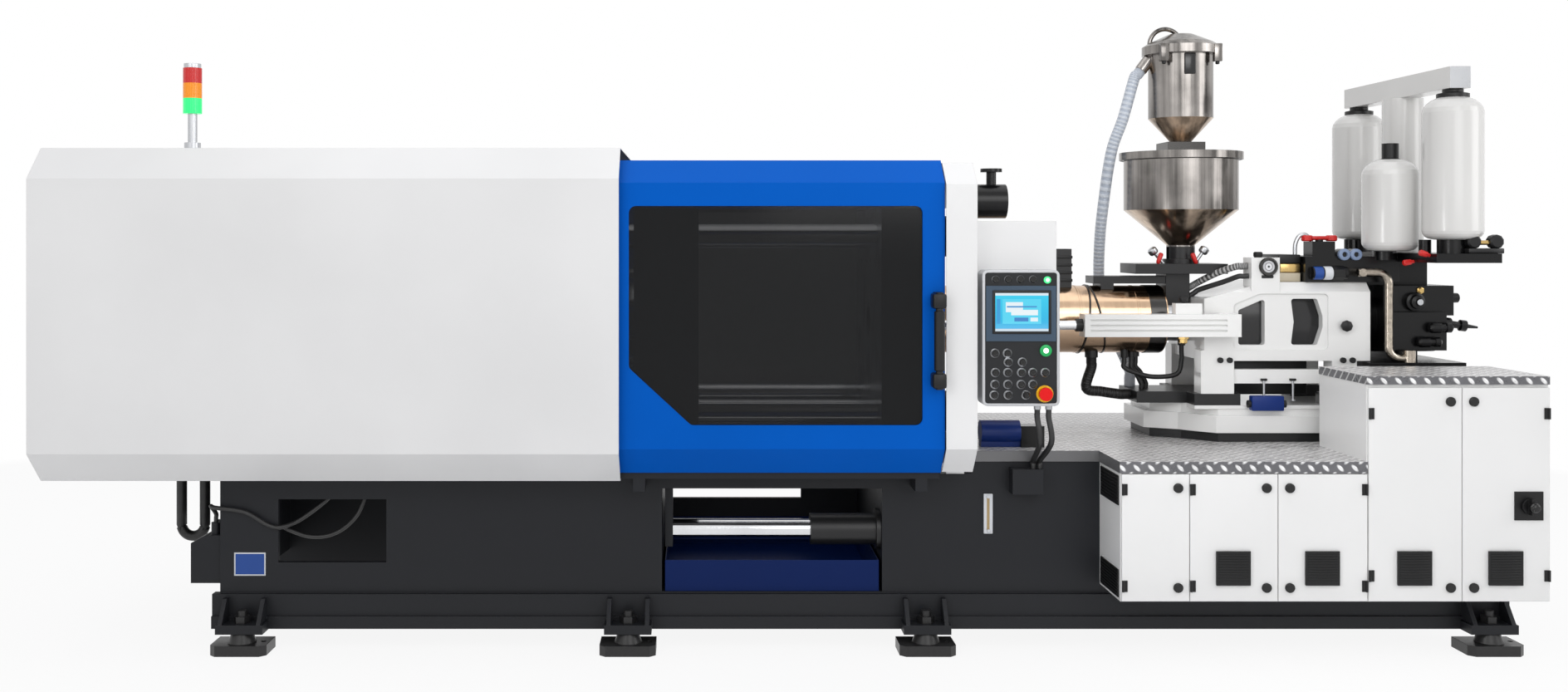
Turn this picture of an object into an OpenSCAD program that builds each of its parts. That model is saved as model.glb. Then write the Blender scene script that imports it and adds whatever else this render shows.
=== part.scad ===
// Horizontal injection machine for die casting: guarded clamp, injection unit, deck and switch cabinets.
// Millimetres. +X to the injection end, -Y to the operator, +Z up, floor at Z = 0.

/* [Lengths] */
// Length of the clamp covers
cover_len = 2854; // [2760:2:2960]
// Opening closed by the gates
gate_gap = 1582; // [1500:2:1660]
// Width of the guard post
post_w = 150; // [130:2:180]
// Length of open deck beside the guard post
panel_gap = 688; // [640:2:760]
// Width of the low cabinet
low_cab_w = 1188; // [1120:2:1260]
// Width of the tall cabinet
tall_cab_w = 878; // [820:2:940]

/* [Widths] */
// Width over the guards and the cabinets
guard_w = 2000; // [1970:2:2060]
// Width of the base
base_w = 1228; // [1216:2:1250]

/* [Heights] */
// Height of the machine axis
axis_z = 1630; // [1610:2:1650]
// Top of the base under the clamp
base_h = 878; // [868:2:888]
// Top of the deck
deck_z = 996; // [986:2:1006]
// Roof of the clamp covers
cover_top = 2517; // [2500:1:2550]
// Top of the tall cabinet
tall_top = 1408; // [1340:2:1480]
// Rim of the hopper
hopper_top = 2540; // [2480:2:2600]

/* [Clamp] */
// Diameter of the tie bars
tie_d = 125; // [110:1:135]
// Pitch of the tie bars, both ways
tie_pitch = 904; // [880:2:920]
// Width of the platens
platen_w = 1190; // [1170:2:1200]
// Opening between the platens
daylight = 931; // [880:1:980]
// Travel of the moving platen
clamp_stroke = 690; // [600:5:700]
// Diameter of the clamp ram
ram_d = 400; // [360:2:420]
// Thickness of the moving platen
platen_t = 330; // [300:2:360]
// Thickness of the fixed platen
fixed_t = 300; // [280:2:320]
// Diameter of the traverse rod
trav_d = 104; // [80:1:110]
// Travel of the ejector
ejector_stroke = 120; // [80:5:140]

/* [Guards] */
// Sheet thickness of the covers
sheet_t = 4; // [3:0.5:6]
// Depth of the bevels on the covers
cover_bevel = 160; // [140:2:170]
// Depth of the bevels on the gates
gate_bevel = 130; // [120:2:140]
// Thickness of the gate frames
gate_t = 25; // [20:1:30]
// Thickness of the panes
pane_t = 8; // [5:0.5:10]
// Travel of the gates
gate_stroke = 1250; // [1000:10:1300]

/* [Injection unit] */
// Diameter of the barrel
barrel_d = 240; // [220:2:260]
// Diameter of the bronze barrel cover
jacket_d = 366; // [340:2:380]
// Diameter of the screw
screw_d = 90; // [70:1:110]
// Travel of the carriage
carriage_stroke = 350; // [250:5:360]
// Travel of the screw
shot_stroke = 250; // [200:5:260]
// Radius of the hopper
hopper_r = 301; // [260:1:320]
// Radius of the loader
loader_r = 171; // [150:1:190]
// Radius of the accumulator bottles
bottle_r = 145; // [130:1:150]
// Length of the accumulator bottles
bottle_h = 740; // [680:5:800]
// Length of the injection housing
house_len = 878; // [850:2:900]
// Width of the injection housing
house_w = 600; // [580:2:620]

/* [Panel and doors] */
// Width of the operator panel
panel_w = 372; // [350:1:390]
// Height of the operator panel
panel_h = 656; // [620:1:690]
// Thickness of the cabinet doors
door_t = 15; // [12:1:18]
// Wall of the base and the cabinets
wall = 30; // [22:1:34]

/* [Hidden] */
$fn = 48;
// Sides of the hose sections
hose_sides = 10;
// Angle of a half turn
half_turn = 180;
// Working clearances, door gaps and the overrun of every cut
gap = 0.3;
slit = 4;
run = 20;

// Colours
charcoal = [0.17, 0.18, 0.19];
steel = [0.62, 0.63, 0.65];
chrome = [0.8, 0.81, 0.83];
white = [0.93, 0.93, 0.92];
blue = [0.0, 0.34, 0.73];
navy = [0.02, 0.15, 0.38];
black = [0.1, 0.1, 0.11];
bronze = [0.67, 0.55, 0.43];

// Stations along the machine
machine_len = cover_len + gate_gap + post_w + panel_gap + low_cab_w + tall_cab_w;
x_l = -machine_len / 2;
x_cov = x_l + cover_len;
x_post = x_cov + gate_gap;
x_post_r = x_post + post_w;
x_low = x_post_r + panel_gap;
x_tall = x_low + low_cab_w;
x_r = x_tall + tall_cab_w;
guard_y = guard_w / 2;
base_y = base_w / 2;

// Base
cover_over = 811;
base_l = x_l + cover_over;
base_r = x_r;
deck_t = 6;
deck_low = deck_z - deck_t;
deck_l_off = 34;
deck_l = x_post_r + deck_l_off;
deck_trim = 56;
body_low = 251;
beam_low = 101;
beam_top = 273;
beam_step = 164;
beam_l_off = 33;
beam_l = base_l - beam_l_off;
beam_out_off = 41;
beam_out = base_y + beam_out_off;
beam_in_off = 26;
beam_in = base_y + beam_in_off;
// Drop opening between the platens
fix_in = 266;
x_fix = x_post - fix_in;
x_fix_r = x_fix + fixed_t;
x_mov_r = x_fix - daylight;
x_mov_l = x_mov_r - platen_t;
drop_l_off = 1117;
drop_l = x_fix - drop_l_off;
drop_r = x_fix;
drop_low = 281;
drop_top_off = 75;
drop_top = base_h - drop_top_off;
way_y_off = 75;
way_y = base_y - way_y_off;
back_l_off = 34;
back_l = drop_l + back_l_off;
back_r_off = 788;
back_r = drop_l + back_r_off;
back_low = 547;
// Window in the left bay
win_l_off = 295;
win_l = base_l + win_l_off;
win_r_off = 548;
win_r = win_l + win_r_off;
win_low = 428;
win_top = 748;
// Oil tank behind the injection end
tank_l_off = 150;
tank_l = deck_l + tank_l_off;
tank_y = guard_y;
// Foot brackets and feet
foot_in = 140;
foot_2_off = 167;
foot_3_off = 208;
foot_xs = [base_l + foot_in, drop_l - foot_2_off, drop_r + foot_3_off, base_r - foot_in];
foot_y_off = 50;
foot_y = beam_out + foot_y_off;
foot_plate_x = 236;
foot_plate_t = 46;
foot_plate_out_off = 62;
foot_plate_out = foot_y + foot_plate_out_off;
gusset_t = 22;
gusset_out = 24;
gusset_drop = 14;
gusset_off = 96;
pad_x = 280;
pad_y = 190;
pad_t = 52;
pad_cut = 30;
boss_d = 140;
boss_top_d = 104;
stud_d = 48;
stud_top_off = 62;
stud_top = beam_low + foot_plate_t + stud_top_off;
nut_d = 84;
nut_t = 34;
anchor_d = 26;
anchor_off = 108;
// Gland box under the panel
gland_l_off = 228;
gland_l = x_post_r + gland_l_off;
gland_w = 156;
gland_low_off = 92;
gland_low = base_h - gland_low_off;
gland_top_off = 35;
gland_top = base_h + gland_top_off;
gland_out_off = 90;
gland_out = base_y + gland_out_off;

// Clamp
tie_y = tie_pitch / 2;
platen_y = platen_w / 2;
platen_up = platen_w / 2;
rear_in = 109;
rear_t = fixed_t;
x_rear_l = base_l + rear_in;
x_rear_r = x_rear_l + rear_t;
tie_nut_d = 210;
tie_nut_t = 100;
tie_end = 160;
shoe_t = 27;
shoe_over = 90;
// Clamp cylinder
cyl_d_off = 120;
cyl_d = ram_d + cyl_d_off;
cyl_l_off = 650;
cyl_l = x_rear_l - cyl_l_off;
cyl_flange_d_off = 130;
cyl_flange_d = cyl_d + cyl_flange_d_off;
cyl_flange_t = 60;
cyl_cap = 70;
cyl_port_in = 135;
cyl_port_pitch = 127;
cyl_port_xs = [cyl_l + cyl_port_in, cyl_l + cyl_port_in + cyl_port_pitch];
cyl_port_d = 84;
cyl_port_low_off = 60;
cyl_port_low = axis_z - cyl_d / 2 - cyl_port_low_off;
ram_in_off = 150;
ram_in = clamp_stroke + ram_in_off;
// Nozzle side of the fixed platen
locating_d = 160;
locating_deep = 40;
nozzle_hole_d = 110;
counter_d = 420;
counter_deep = 180;
bolt_d = 22;
bolt_deep = 60;
bolt_pitch = 210;
bolt_shares = [-1.5, -0.5, 0.5, 1.5];
// Traverse cylinder under the platen
trav_y_off = 119;
trav_y = -base_y + trav_y_off;
trav_z = 576;
hanger_l_off = 14;
hanger_l = drop_l + hanger_l_off;
hanger_t = 40;
hanger_w = 84;
trav_cyl_l_off = 15;
trav_cyl_l = hanger_l + hanger_t + clamp_stroke + trav_cyl_l_off;
trav_cyl_d_off = 56;
trav_cyl_d = trav_d + trav_cyl_d_off;
trav_cyl_len_off = 240;
trav_cyl_len = clamp_stroke + trav_cyl_len_off;
trav_flange_d_off = 50;
trav_flange_d = trav_cyl_d + trav_flange_d_off;
trav_flange_t = 24;
trav_in = 150;
// Ejector
ej_rod_d = 40;
ej_rod_y = 250;
ej_cyl_y = 400;
ej_cyl_d = 110;
ej_cyl_len = 300;
ej_pull_d = 50;
ej_plate_t = 40;
ej_plate_y = 470;
ej_plate_z = 300;
x_ej_cyl = x_mov_l - ej_cyl_len;
x_ej_off = 20;
x_ej = x_ej_cyl - ejector_stroke - x_ej_off;

// Guards
cover_lip_off = 5;
cover_lip = platen_y + cover_lip_off;
seam = 0.5;
gate_y_off = 45;
gate_y = guard_y - gate_y_off;
gate_over = 60;
gate_l = x_cov - gate_over;
gate_r_off = 3;
gate_r = x_post - gate_r_off;
gate_low_off = 38;
gate_low = base_h + gate_low_off;
gate_top_off = 60;
gate_top = cover_top - gate_top_off;
gate_face_low_off = 134;
gate_face_low = gate_low + gate_face_low_off;
gate_face_top_off = 115;
gate_face_top = gate_top - gate_face_top_off;
gate_lip_share = 0.3;
gate_lip = (gate_y - gate_bevel - platen_y) * gate_lip_share;
gate_in = gate_y - gate_bevel - gate_lip;
cover_face_low_off = 154;
cover_face_low = base_h + cover_face_low_off;
cover_face_top_off = 157;
cover_face_top = cover_top - cover_face_top_off;
// Window and pane
pane_l_off = 106;
pane_l = gate_l + pane_l_off;
pane_r_off = 108;
pane_r = gate_r - pane_r_off;
pane_low_off = 116;
pane_low = gate_face_low + pane_low_off;
pane_top_off = 113;
pane_top = gate_face_top - pane_top_off;
pane_cut_x = 302;
pane_cut_z = 278;
pane_round = 34;
pane_edge = 18;
pane_edge_deep = 10;
round_steps = 4;
// Handle
handle_x_off = 39;
handle_x = gate_r - handle_x_off;
handle_low_off = 181;
handle_low = pane_low + handle_low_off;
handle_top_off = 647;
handle_top = pane_low + handle_top_off;
handle_d = 36;
handle_out_off = 50;
handle_out = guard_y + handle_out_off;
handle_foot = 44;
// Rails
rail_in_off = 35;
rail_in = gate_in - rail_in_off;
rail_out_share = 15 / 23;
rail_out = gate_in + gate_lip * rail_out_share;
rail_h = 36;
rail_l_off = 40;
rail_l = gate_l - gate_stroke - rail_l_off;
rail_r_off = 4;
rail_r = x_post - rail_r_off;
rail_foot = 60;
hanger_gap = 5;
// Guard post
post_y_off = 20;
post_y = guard_y - post_y_off;
post_low_off = 46;
post_low = base_h + post_low_off;
post_top_off = 74;
post_top = cover_top - post_top_off;
post_face_low_off = 129;
post_face_low = post_low + post_face_low_off;
post_face_top_off = 110;
post_face_top = post_top - post_face_top_off;
post_bevel = 130;
post_t = 6;
post_hole_y_off = 5;
post_hole_y = platen_y + post_hole_y_off;
post_hole_top_off = 10;
post_hole_top = axis_z + platen_up + post_hole_top_off;
post_foot = 60;
// Signal tower
tower_x_off = 700;
tower_x = x_l + tower_x_off;
tower_y_off = 300;
tower_y = -guard_y + tower_y_off;
tower_flange_d = 80;
tower_flange_t = 34;
tower_pole_d = 46;
tower_pole_h = 146;
lens_d = 92;
lens_h = 76;
lens_count = 3;
tower_cap_d = 84;
tower_cap_h = 22;
// Operator panel
column_r_off = 407;
column_r = x_post_r + column_r_off;
column_y_off = 130;
column_y = -guard_y + column_y_off;
column_back_off = 5;
column_back = -platen_y - column_back_off;
column_low_off = 340;
column_low = axis_z - column_low_off;
column_top_off = 527;
column_top = axis_z + column_top_off;
panel_l_off = 20;
panel_l = x_post_r + panel_l_off;
panel_low_off = 366;
panel_low = axis_z - panel_low_off;
panel_round = 26;
panel_rim = 13;
face_t = 8;
face_deep = 10;
key_d = 22;
key_out = 5;
key_col_shares = [0.163, 0.324, 0.505, 0.645];
key_row_shares = [0.402, 0.323, 0.244, 0.171, 0.087];
key_map_shares = [[1, 1, 0, 0], [0, 1, 1, 0], [1, 1, 1, 1], [1, 1, 1, 1], [1, 1, 0, 0]];
start_x_share = 0.817;
start_z_share = 0.409;
start_d = 40;
stop_x_share = 0.806;
stop_z_share = 0.091;
stop_d = 64;
stop_ring_d = 82;
stop_ring_t = 6;
stop_stem_d = 28;
stop_stand = 8;
stop_head_t = 22;
selector_x_share = 0.548;
selector_z_share = 0.085;
selector_d = 34;
selector_out = 18;
selector_fin = 9;
push_deep = 40;
start_out = 12;
screen_l_share = 0.215;
screen_r_share = 0.86;
screen_low_share = 0.543;
screen_top_share = 0.835;
screen_t = 4;
bezel_l_share = 0.046;
bezel_r_share = 0.954;
bezel_low_share = 0.476;
bezel_top_share = 0.884;
bezel_out = 4;
cable_d = 18;
gland_d = 34;
gland_h = 26;
panel_cable_shares = [0.768, 0.918];

// Cabinets
cab_low = 320;
door_gap = 0.6;
frame_y = -guard_y + door_t + door_gap;
cab_mid = deck_low;
tall_back_off = 140;
tall_back = -house_w / 2 - tall_back_off;
tall_trim = 40;
door_top_off = 60;
door_top = deck_z - door_top_off;
tall_door_top_off = 56;
tall_door_top = tall_top - tall_door_top_off;
door_low_off = 4;
door_low = cab_low + door_low_off;
split_1_off = 330;
split_1 = x_low + split_1_off;
split_2_off = 756;
split_2 = x_low + split_2_off;
split_4_off = 454;
split_4 = x_tall + split_4_off;
door_ls = [x_low + slit, split_1 + slit / 2, split_2 + slit / 2, x_tall + slit, split_4 + slit / 2];
door_rs = [split_1 - slit / 2, split_2 - slit / 2, x_tall - slit / 2, split_4 - slit / 2, x_r - slit / 2];
door_tops = [door_top, door_top, door_top, tall_door_top, tall_door_top];
door_sides = [1, 1, -1, 1, -1];
door_grilles = [0, 1, 1, 1, 1];
leaf_w = 26;
leaf_h = 54;
leaf_out = 5;
knuckle_d = 12;
knuckle_out = 7;
knuckle_in = 4;
leaf_z_shares = [0.12, 0.88];
lock_d = 46;
lock_out = 9;
lock_in = 54;
lock_end = 66;
grille = 162;
grille_out = 7;
grille_low = 80;
grille_share = 0.48;
slot_count = 7;
slot_share = 0.5;
slot_rim = 16;
slot_deep = 5;
louvre_count = 6;
louvre_h = 9;
louvre_pitch = 18;
louvre_in = 60;
louvre_deep = 4;
switch_x_off = 104;
switch_x = x_r - switch_x_off;
switch_z_off = 568;
switch_z = tall_door_top - switch_z_off;
switch_plate = 138;
switch_plate_t = 6;
switch_d = 78;
switch_t = 16;
switch_bar = 20;
switch_bar_t = 28;

// Injection unit, from the hopper axis
x_hop_off = 609;
x_hop = x_low + x_hop_off;
house_l_off = 28;
house_l = x_hop + house_l_off;
house_r = house_l + house_len;
house_y = house_w / 2;
house_low_off = 206;
house_low = axis_z - house_low_off;
house_top_off = 209;
house_top = axis_z + house_top_off;
house_slope_x = 340;
house_slope_z = 86;
house_cut = 50;
house_wall = 60;
house_floor = 56;
house_bulge_d = 412;
house_bulge = 46;
win_1_l_off = 184;
win_1_l = house_l + win_1_l_off;
win_1_r_off = 140;
win_1_r = win_1_l + win_1_r_off;
win_2_l_off = 138;
win_2_l = win_1_r + win_2_l_off;
win_2_r_off = 168;
win_2_r = win_2_l + win_2_r_off;
win_half = 122;
win_slant = 30;
win_round = 14;
recess_rim = 26;
recess_deep = 10;
recess_round = 22;
gauge_l_off = 250;
gauge_l = house_l + gauge_l_off;
gauge_w = 150;
gauge_deep = 120;
gauge_top_off = 131;
gauge_top = house_top + gauge_top_off;
inj_top_off = 441;
inj_top = axis_z - inj_top_off;
shoe_top_off = 61;
shoe_top = inj_top + shoe_top_off;
leg_l_off = 17;
leg_l = house_l - leg_l_off;
leg_w = 175;
leg_t = 110;
leg_2_l_off = 202;
leg_2_l = house_r - leg_2_l_off;
leg_2_w = 131;
tie_beam_low_off = 53;
tie_beam_low = shoe_top + tie_beam_low_off;
tie_beam_top_off = 75;
tie_beam_top = tie_beam_low + tie_beam_top_off;
tie_beam_t = 60;
shoe_w_off = 20;
shoe_w = leg_t + shoe_w_off;
shoe_side = 34;
leg_bolt_d = 30;
leg_bolt_out = 14;
leg_bolt_in = 25;
leg_bolt_rise = 178;
// Hose box of the saddle
box_l_off = 290;
box_l = x_hop - box_l_off;
// Injection base
plinth_top_off = 48;
plinth_top = deck_z + plinth_top_off;
tier_top_off = 53;
tier_top = inj_top - tier_top_off;
inj_y_off = 10;
inj_y = house_y + inj_y_off;
inj_slant = 250;
inj_step = 90;
inj_mid = 60;
inj_r_off = 70;
inj_r = house_r + inj_r_off;
tier_in = 34;
tier_in_top = 16;
// Barrel
x_jacket_off = 50;
x_jacket = x_fix_r + x_jacket_off;
x_jacket_r_off = 120;
x_jacket_r = x_hop - x_jacket_r_off;
jacket_t = 5;
jacket_end = 14;
bore_d = screw_d + 2 * gap;
nozzle_d = 140;
nozzle_tip_d = 80;
nozzle_bore_d = 24;
x_nozzle_off = 60;
x_nozzle = x_fix + x_nozzle_off;
x_nozzle_neck_off = 80;
x_nozzle_neck = x_nozzle + x_nozzle_neck_off;
barrel_r = house_l + house_wall;
feed_d = 60;
// Carriage cylinders
car_y_off = 65;
car_y = house_y + car_y_off;
car_z_off = 13;
car_z = axis_z - car_z_off;
car_h = 118;
car_flute = 9;
car_l_off = 5;
car_l = x_low + car_l_off;
car_r_off = 711;
car_r = car_l + car_r_off;
car_block_r_off = 74;
car_block_r = car_r + car_block_r_off;
car_tap_in = 120;
car_tap_r = car_r - car_tap_in;
car_tap = 140;
car_tap_h = 56;
car_bore = 62;
car_rod_d = 50;
car_rod_r_off = 90;
car_rod_r = car_l + carriage_stroke + car_rod_r_off;
car_cap = 30;
// Hopper base
neck_r = 75;
neck_flange_r = 96;
flange_low_off = 250;
flange_low = axis_z + flange_low_off;
flange_top_off = 304;
flange_top = axis_z + flange_top_off;
flange_l_off = 289;
flange_l = x_hop - flange_l_off;
flange_r_off = 207;
flange_r = x_hop + flange_r_off;
flange_y = 150;
hopper_low_off = 395;
hopper_low = axis_z + hopper_low_off;
throat_l_off = 12;
throat_l = x_jacket_r + throat_l_off;
throat_r_off = 8;
throat_r = house_l - throat_r_off;
throat_y = 90;
shelf_l_off = 500;
shelf_l = x_hop - shelf_l_off;
shelf_r_off = 60;
shelf_r = x_hop - shelf_r_off;
shelf_low_off = 196;
shelf_low = axis_z + shelf_low_off;
shelf_top_off = 236;
shelf_top = axis_z + shelf_top_off;
shelf_y = 84;
shelf_post_l_off = 40;
shelf_post_l = shelf_l + shelf_post_l_off;
shelf_post_w = 70;
heater_l_off = 122;
heater_l = x_low - heater_l_off;
heater_w = 118;
heater_y = 62;
heater_top_off = 384;
heater_top = axis_z + heater_top_off;
port_1_off = 500;
port_2_off = 330;
port_3_off = 280;
port_4_off = 240;
port_1_y = 40;
port_2_y = 70;
port_3_y = 30;
loom_d = 56;
bow_d = 26;
oil_hose_d = 28;
port_xs = [x_hop - port_1_off, x_hop - port_2_off, x_hop - port_3_off, x_hop - port_4_off];
port_ys = [-port_1_y, -port_2_y, -port_3_y, port_3_y];
port_ds = [loom_d, bow_d, oil_hose_d, oil_hose_d];
bow_x_off = 18;
bow_x = x_hop - bow_x_off;
bow_low_off = 140;
bow_low = axis_z - bow_low_off;
port_wall = 14;
port_low_off = 24;
port_low = axis_z - jacket_d / 2 - port_low_off;
// Hopper and loader
hopper_wall = 4;
hopper_cone_top_off = 314;
hopper_cone_top = hopper_top - hopper_cone_top_off;
hopper_rim = 25;
hopper_rim_t = 40;
hopper_out_r = 64;
lid_t = 5;
load_low = hopper_top + lid_t;
load_plate = 102;
load_plate_t = 50;
load_cone_low = load_low + load_plate_t;
load_cyl_low_off = 132;
load_cyl_low = load_cone_low + load_cyl_low_off;
load_cyl_top_off = 369;
load_cyl_top = load_cyl_low + load_cyl_top_off;
load_lid_r_off = 34;
load_lid_r = loader_r + load_lid_r_off;
load_lid_t = 46;
load_neck_r = 52;
load_cap_r = 66;
load_pipe_r = 12;
load_pipe_h = 122;
load_pipe_off = 170;
inlet_d = 66;
inlet_len = 100;
inlet_tilt = 37;
inlet_in = 12;
inlet_z_off = 25;
inlet_z = load_cyl_top - inlet_z_off;
// Accumulators and the black hydraulic block
acc_x_off = 313;
acc_x = house_r + acc_x_off;
acc_y = 544;
acc_low_off = 435;
acc_low = axis_z + acc_low_off;
acc_top = acc_low + bottle_h;
bottle_dome = 90;
bottle_foot_share = 0.6;
bottle_side_share = 0.4;
neck_d = 90;
neck_h = 30;
beam_y_off = 76;
beam_y = acc_y + beam_y_off;
acc_beam_h = 110;
acc_beam_w = 105;
acc_beam_low = acc_top + neck_h;
acc_post_d = 210;
small_x_off = 105;
small_x = house_r + small_x_off;
small_y = -house_y;
small_r = 140;
small_low_off = 375;
small_low = axis_z + small_low_off;
small_h = 492;
small_valve_d = 84;
small_valve_h = 75;
mani_low = house_top;
mani_top_off = 346;
mani_top = axis_z + mani_top_off;
pilot_in = 38;
pilot_w = 120;
pilot_h = 79;
cap_ins = [200, 262];
cap_d = 60;
cart_in = 28;
cart_len = 184;
cart_d = 66;
mani_l_off = 327;
mani_l = house_r - mani_l_off;
mani_r_off = 171;
mani_r = house_r + mani_r_off;
mani_y_off = 40;
mani_y = house_y - mani_y_off;
shot_d = 356;
shot_r_off = 466;
shot_r = house_r + shot_r_off;
cross_low_off = 318;
cross_low = axis_z + cross_low_off;
cross_top_off = 365;
cross_top = axis_z + cross_top_off;
cross_l_off = 155;
cross_l = acc_x - cross_l_off;
cross_r_off = 172;
cross_r = acc_x + cross_r_off;
cross_y_off = 150;
cross_y = acc_y + cross_y_off;
foot_d = 150;
side_l_off = 93;
side_l = house_r + side_l_off;
side_r_off = 409;
side_r = house_r + side_r_off;
side_low_off = 152;
side_low = axis_z - side_low_off;
side_top_off = 51;
side_top = axis_z + side_top_off;
side_y_off = 10;
side_y = house_y - side_y_off;
side_2_r_off = 57;
side_2_r = side_r + side_2_r_off;
side_2_top_off = 190;
side_2_top = axis_z + side_2_top_off;
side_2_y_off = 50;
side_2_y = house_y - side_2_y_off;
plate_low_off = 251;
plate_low = axis_z - plate_low_off;
plate_top_off = 40;
plate_top = plate_low + plate_top_off;
plate_l_off = 30;
plate_l = house_r - plate_l_off;
plate_r_off = 477;
plate_r = house_r + plate_r_off;
plate_y_off = 60;
plate_y = house_y + plate_y_off;
stalk_w = 180;
small_foot_d = 120;
valve_d = 60;
valve_h = 70;
valve_off = 96;
oil_pipe_d = 42;
pipe_bend = 60;
pipe_foot_d = 63;
pipe_l_off = 60;
pipe_l = house_r - pipe_l_off;
pipe_r_off = 82;
pipe_r = house_r + pipe_r_off;
pipe_z_off = 262;
pipe_z = axis_z + pipe_z_off;
pipe_low_off = 190;
pipe_low = axis_z - pipe_low_off;
pipe_end_off = 190;
pipe_end = house_r + pipe_end_off;
// Piston and screw
piston_d = 150;
x_couple_off = 179;
x_couple = house_l + x_couple_off;
couple_d = 230;
couple_t = 60;
couple_bolt_d = 28;
couple_bolt_out = 16;
couple_bolt_count = 6;
couple_bolt_share = 0.37;
shank_d = screw_d;
x_screw_off = 120;
x_screw = x_nozzle_neck + x_screw_off;
piston_in = 130;
screw_pin_d = 60;
screw_pin = 40;
// Valves on the fixed platen and the deck
valve_bar_d = 176;
valve_bar_y_off = 95;
valve_bar_y = -platen_y + valve_bar_y_off;
valve_bar_z_off = 37;
valve_bar_z = axis_z + platen_up + valve_bar_z_off;
valve_bar_r_off = 347;
valve_bar_r = x_fix_r + valve_bar_r_off;
valve_neck = 50;
wheel_d = 110;
wheel_t = 18;
wheel_z_off = 150;
wheel_z = valve_bar_z + wheel_z_off;
pump_l_off = 76;
pump_l = deck_l + pump_l_off;
pump_len = 202;
pump_y_off = 157;
pump_y = -base_y + pump_y_off;
pump_d = 118;
pump_foot = 34;
pump_head = 110;
pump_head_len = 120;
// Drip tray
tray_l_off = 16;
tray_l = drop_l + tray_l_off;
tray_r_off = 16;
tray_r = drop_r - tray_r_off;
tray_y_off = 6;
tray_y = base_y - tray_y_off;
tray_h = 158;
tray_t = 4;
// Lubrication box at the left end
lube_out = 156;
lube_y_off = 20;
lube_y = -base_y + lube_y_off;
lube_w = 210;
lube_low = 318;
lube_top = 521;
lube_rise = 40;
lube_flat = 80;
lube_port_d = 46;
lube_port = 60;
lube_port_in = 40;
lube_ports = 2;
hose_d = 56;
thin_d = 22;
loop_low = 440;
loader_hose_d = 60;

// Solids from ranges
module block(x, y, z) translate([x[0], y[0], z[0]]) cube([x[1] - x[0], y[1] - y[0], z[1] - z[0]]);
module rod_x(d, x, y, z) translate([x[0], y, z]) rotate([0, 90, 0]) cylinder(h = x[1] - x[0], d = d);
module rod_y(d, y, x, z) translate([x, y[1], z]) rotate([90, 0, 0]) cylinder(h = y[1] - y[0], d = d);
module rod_z(d, z, x, y) translate([x, y, z[0]]) cylinder(h = z[1] - z[0], d = d);
// Outlines in (y, z) drawn out along X, and in (x, z) drawn out along Y
module along_x(x) translate([x[0], 0, 0]) rotate([90, 0, 90]) linear_extrude(x[1] - x[0]) children();
module along_y(y) translate([0, y[1], 0]) rotate([90, 0, 0]) linear_extrude(y[1] - y[0]) children();
module both() {
    children();
    mirror([0, 1, 0]) children();
}
module four() for (sy = [-1, 1], sz = [-1, 1]) translate([0, sy * tie_y, axis_z + sz * tie_y]) children();

// Folded sheet: a line of points thickened to its right side
function unit(v) = v / norm(v);
function side_of(a, b) = let (u = unit(b - a)) [u[1], -u[0]];
function mitre(p, m, n, t) = p + t * (m + n) / (1 + m * n);
function beside(p, t) = let (last = len(p) - 1) [for (i = [0 : last])
    let (m = side_of(p[max(i - 1, 0)], p[max(i, 1)]), n = side_of(p[min(i, last - 1)], p[min(i + 1, last)]))
    mitre(p[i], m, n, t)];
function back(p) = [for (i = [len(p) - 1 : -1 : 0]) p[i]];
function sheet(p, t) = concat(p, back(beside(p, t)));
// Polygon with rounded corners
function arc(c, r, a, d, n) = [for (k = [0 : n]) c + r * [cos(a + d * k / n), sin(a + d * k / n)]];
function corner(b, u, v, r, n) = let (h = acos(u * v) / 2, c = b + unit(u + v) * r / sin(h),
    p = b + u * r / tan(h) - c, q = b + v * r / tan(h) - c, a = atan2(p[1], p[0]),
    d = (atan2(q[1], q[0]) - a + 3 * half_turn) % (2 * half_turn) - half_turn) arc(c, r, a, d, n);
function rounded(p, r, n) = let (k = len(p)) [for (i = [0 : k - 1])
    each corner(p[i], unit(p[(i + k - 1) % k] - p[i]), unit(p[(i + 1) % k] - p[i]), r, n)];
function box_2d(x, z) = [[x[0], z[0]], [x[1], z[0]], [x[1], z[1]], [x[0], z[1]]];
// Round hose swept along a smooth line through route points; side is a direction the line never takes
function smooth(p, i, t) = let (k = len(p) - 1, a = p[max(i - 1, 0)], b = p[i], c = p[min(i + 1, k)],
    d = p[min(i + 2, k)]) 0.5 * (2 * b + (c - a) * t + (2 * a - 5 * b + 4 * c - d) * t * t
    + (3 * b - a - 3 * c + d) * t * t * t);
function route(p, n) = concat([for (i = [0 : len(p) - 2], k = [0 : n - 1]) smooth(p, i, k / n)], [p[len(p) - 1]]);
function heading(p, i) = unit(p[min(i + 1, len(p) - 1)] - p[max(i - 1, 0)]);
function hoop(c, t, side, r) = let (u = unit(cross(t, side)), v = cross(t, u))
    [for (a = [0 : hose_sides - 1]) c + r * (cos(a * 360 / hose_sides) * u + sin(a * 360 / hose_sides) * v)];
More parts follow.
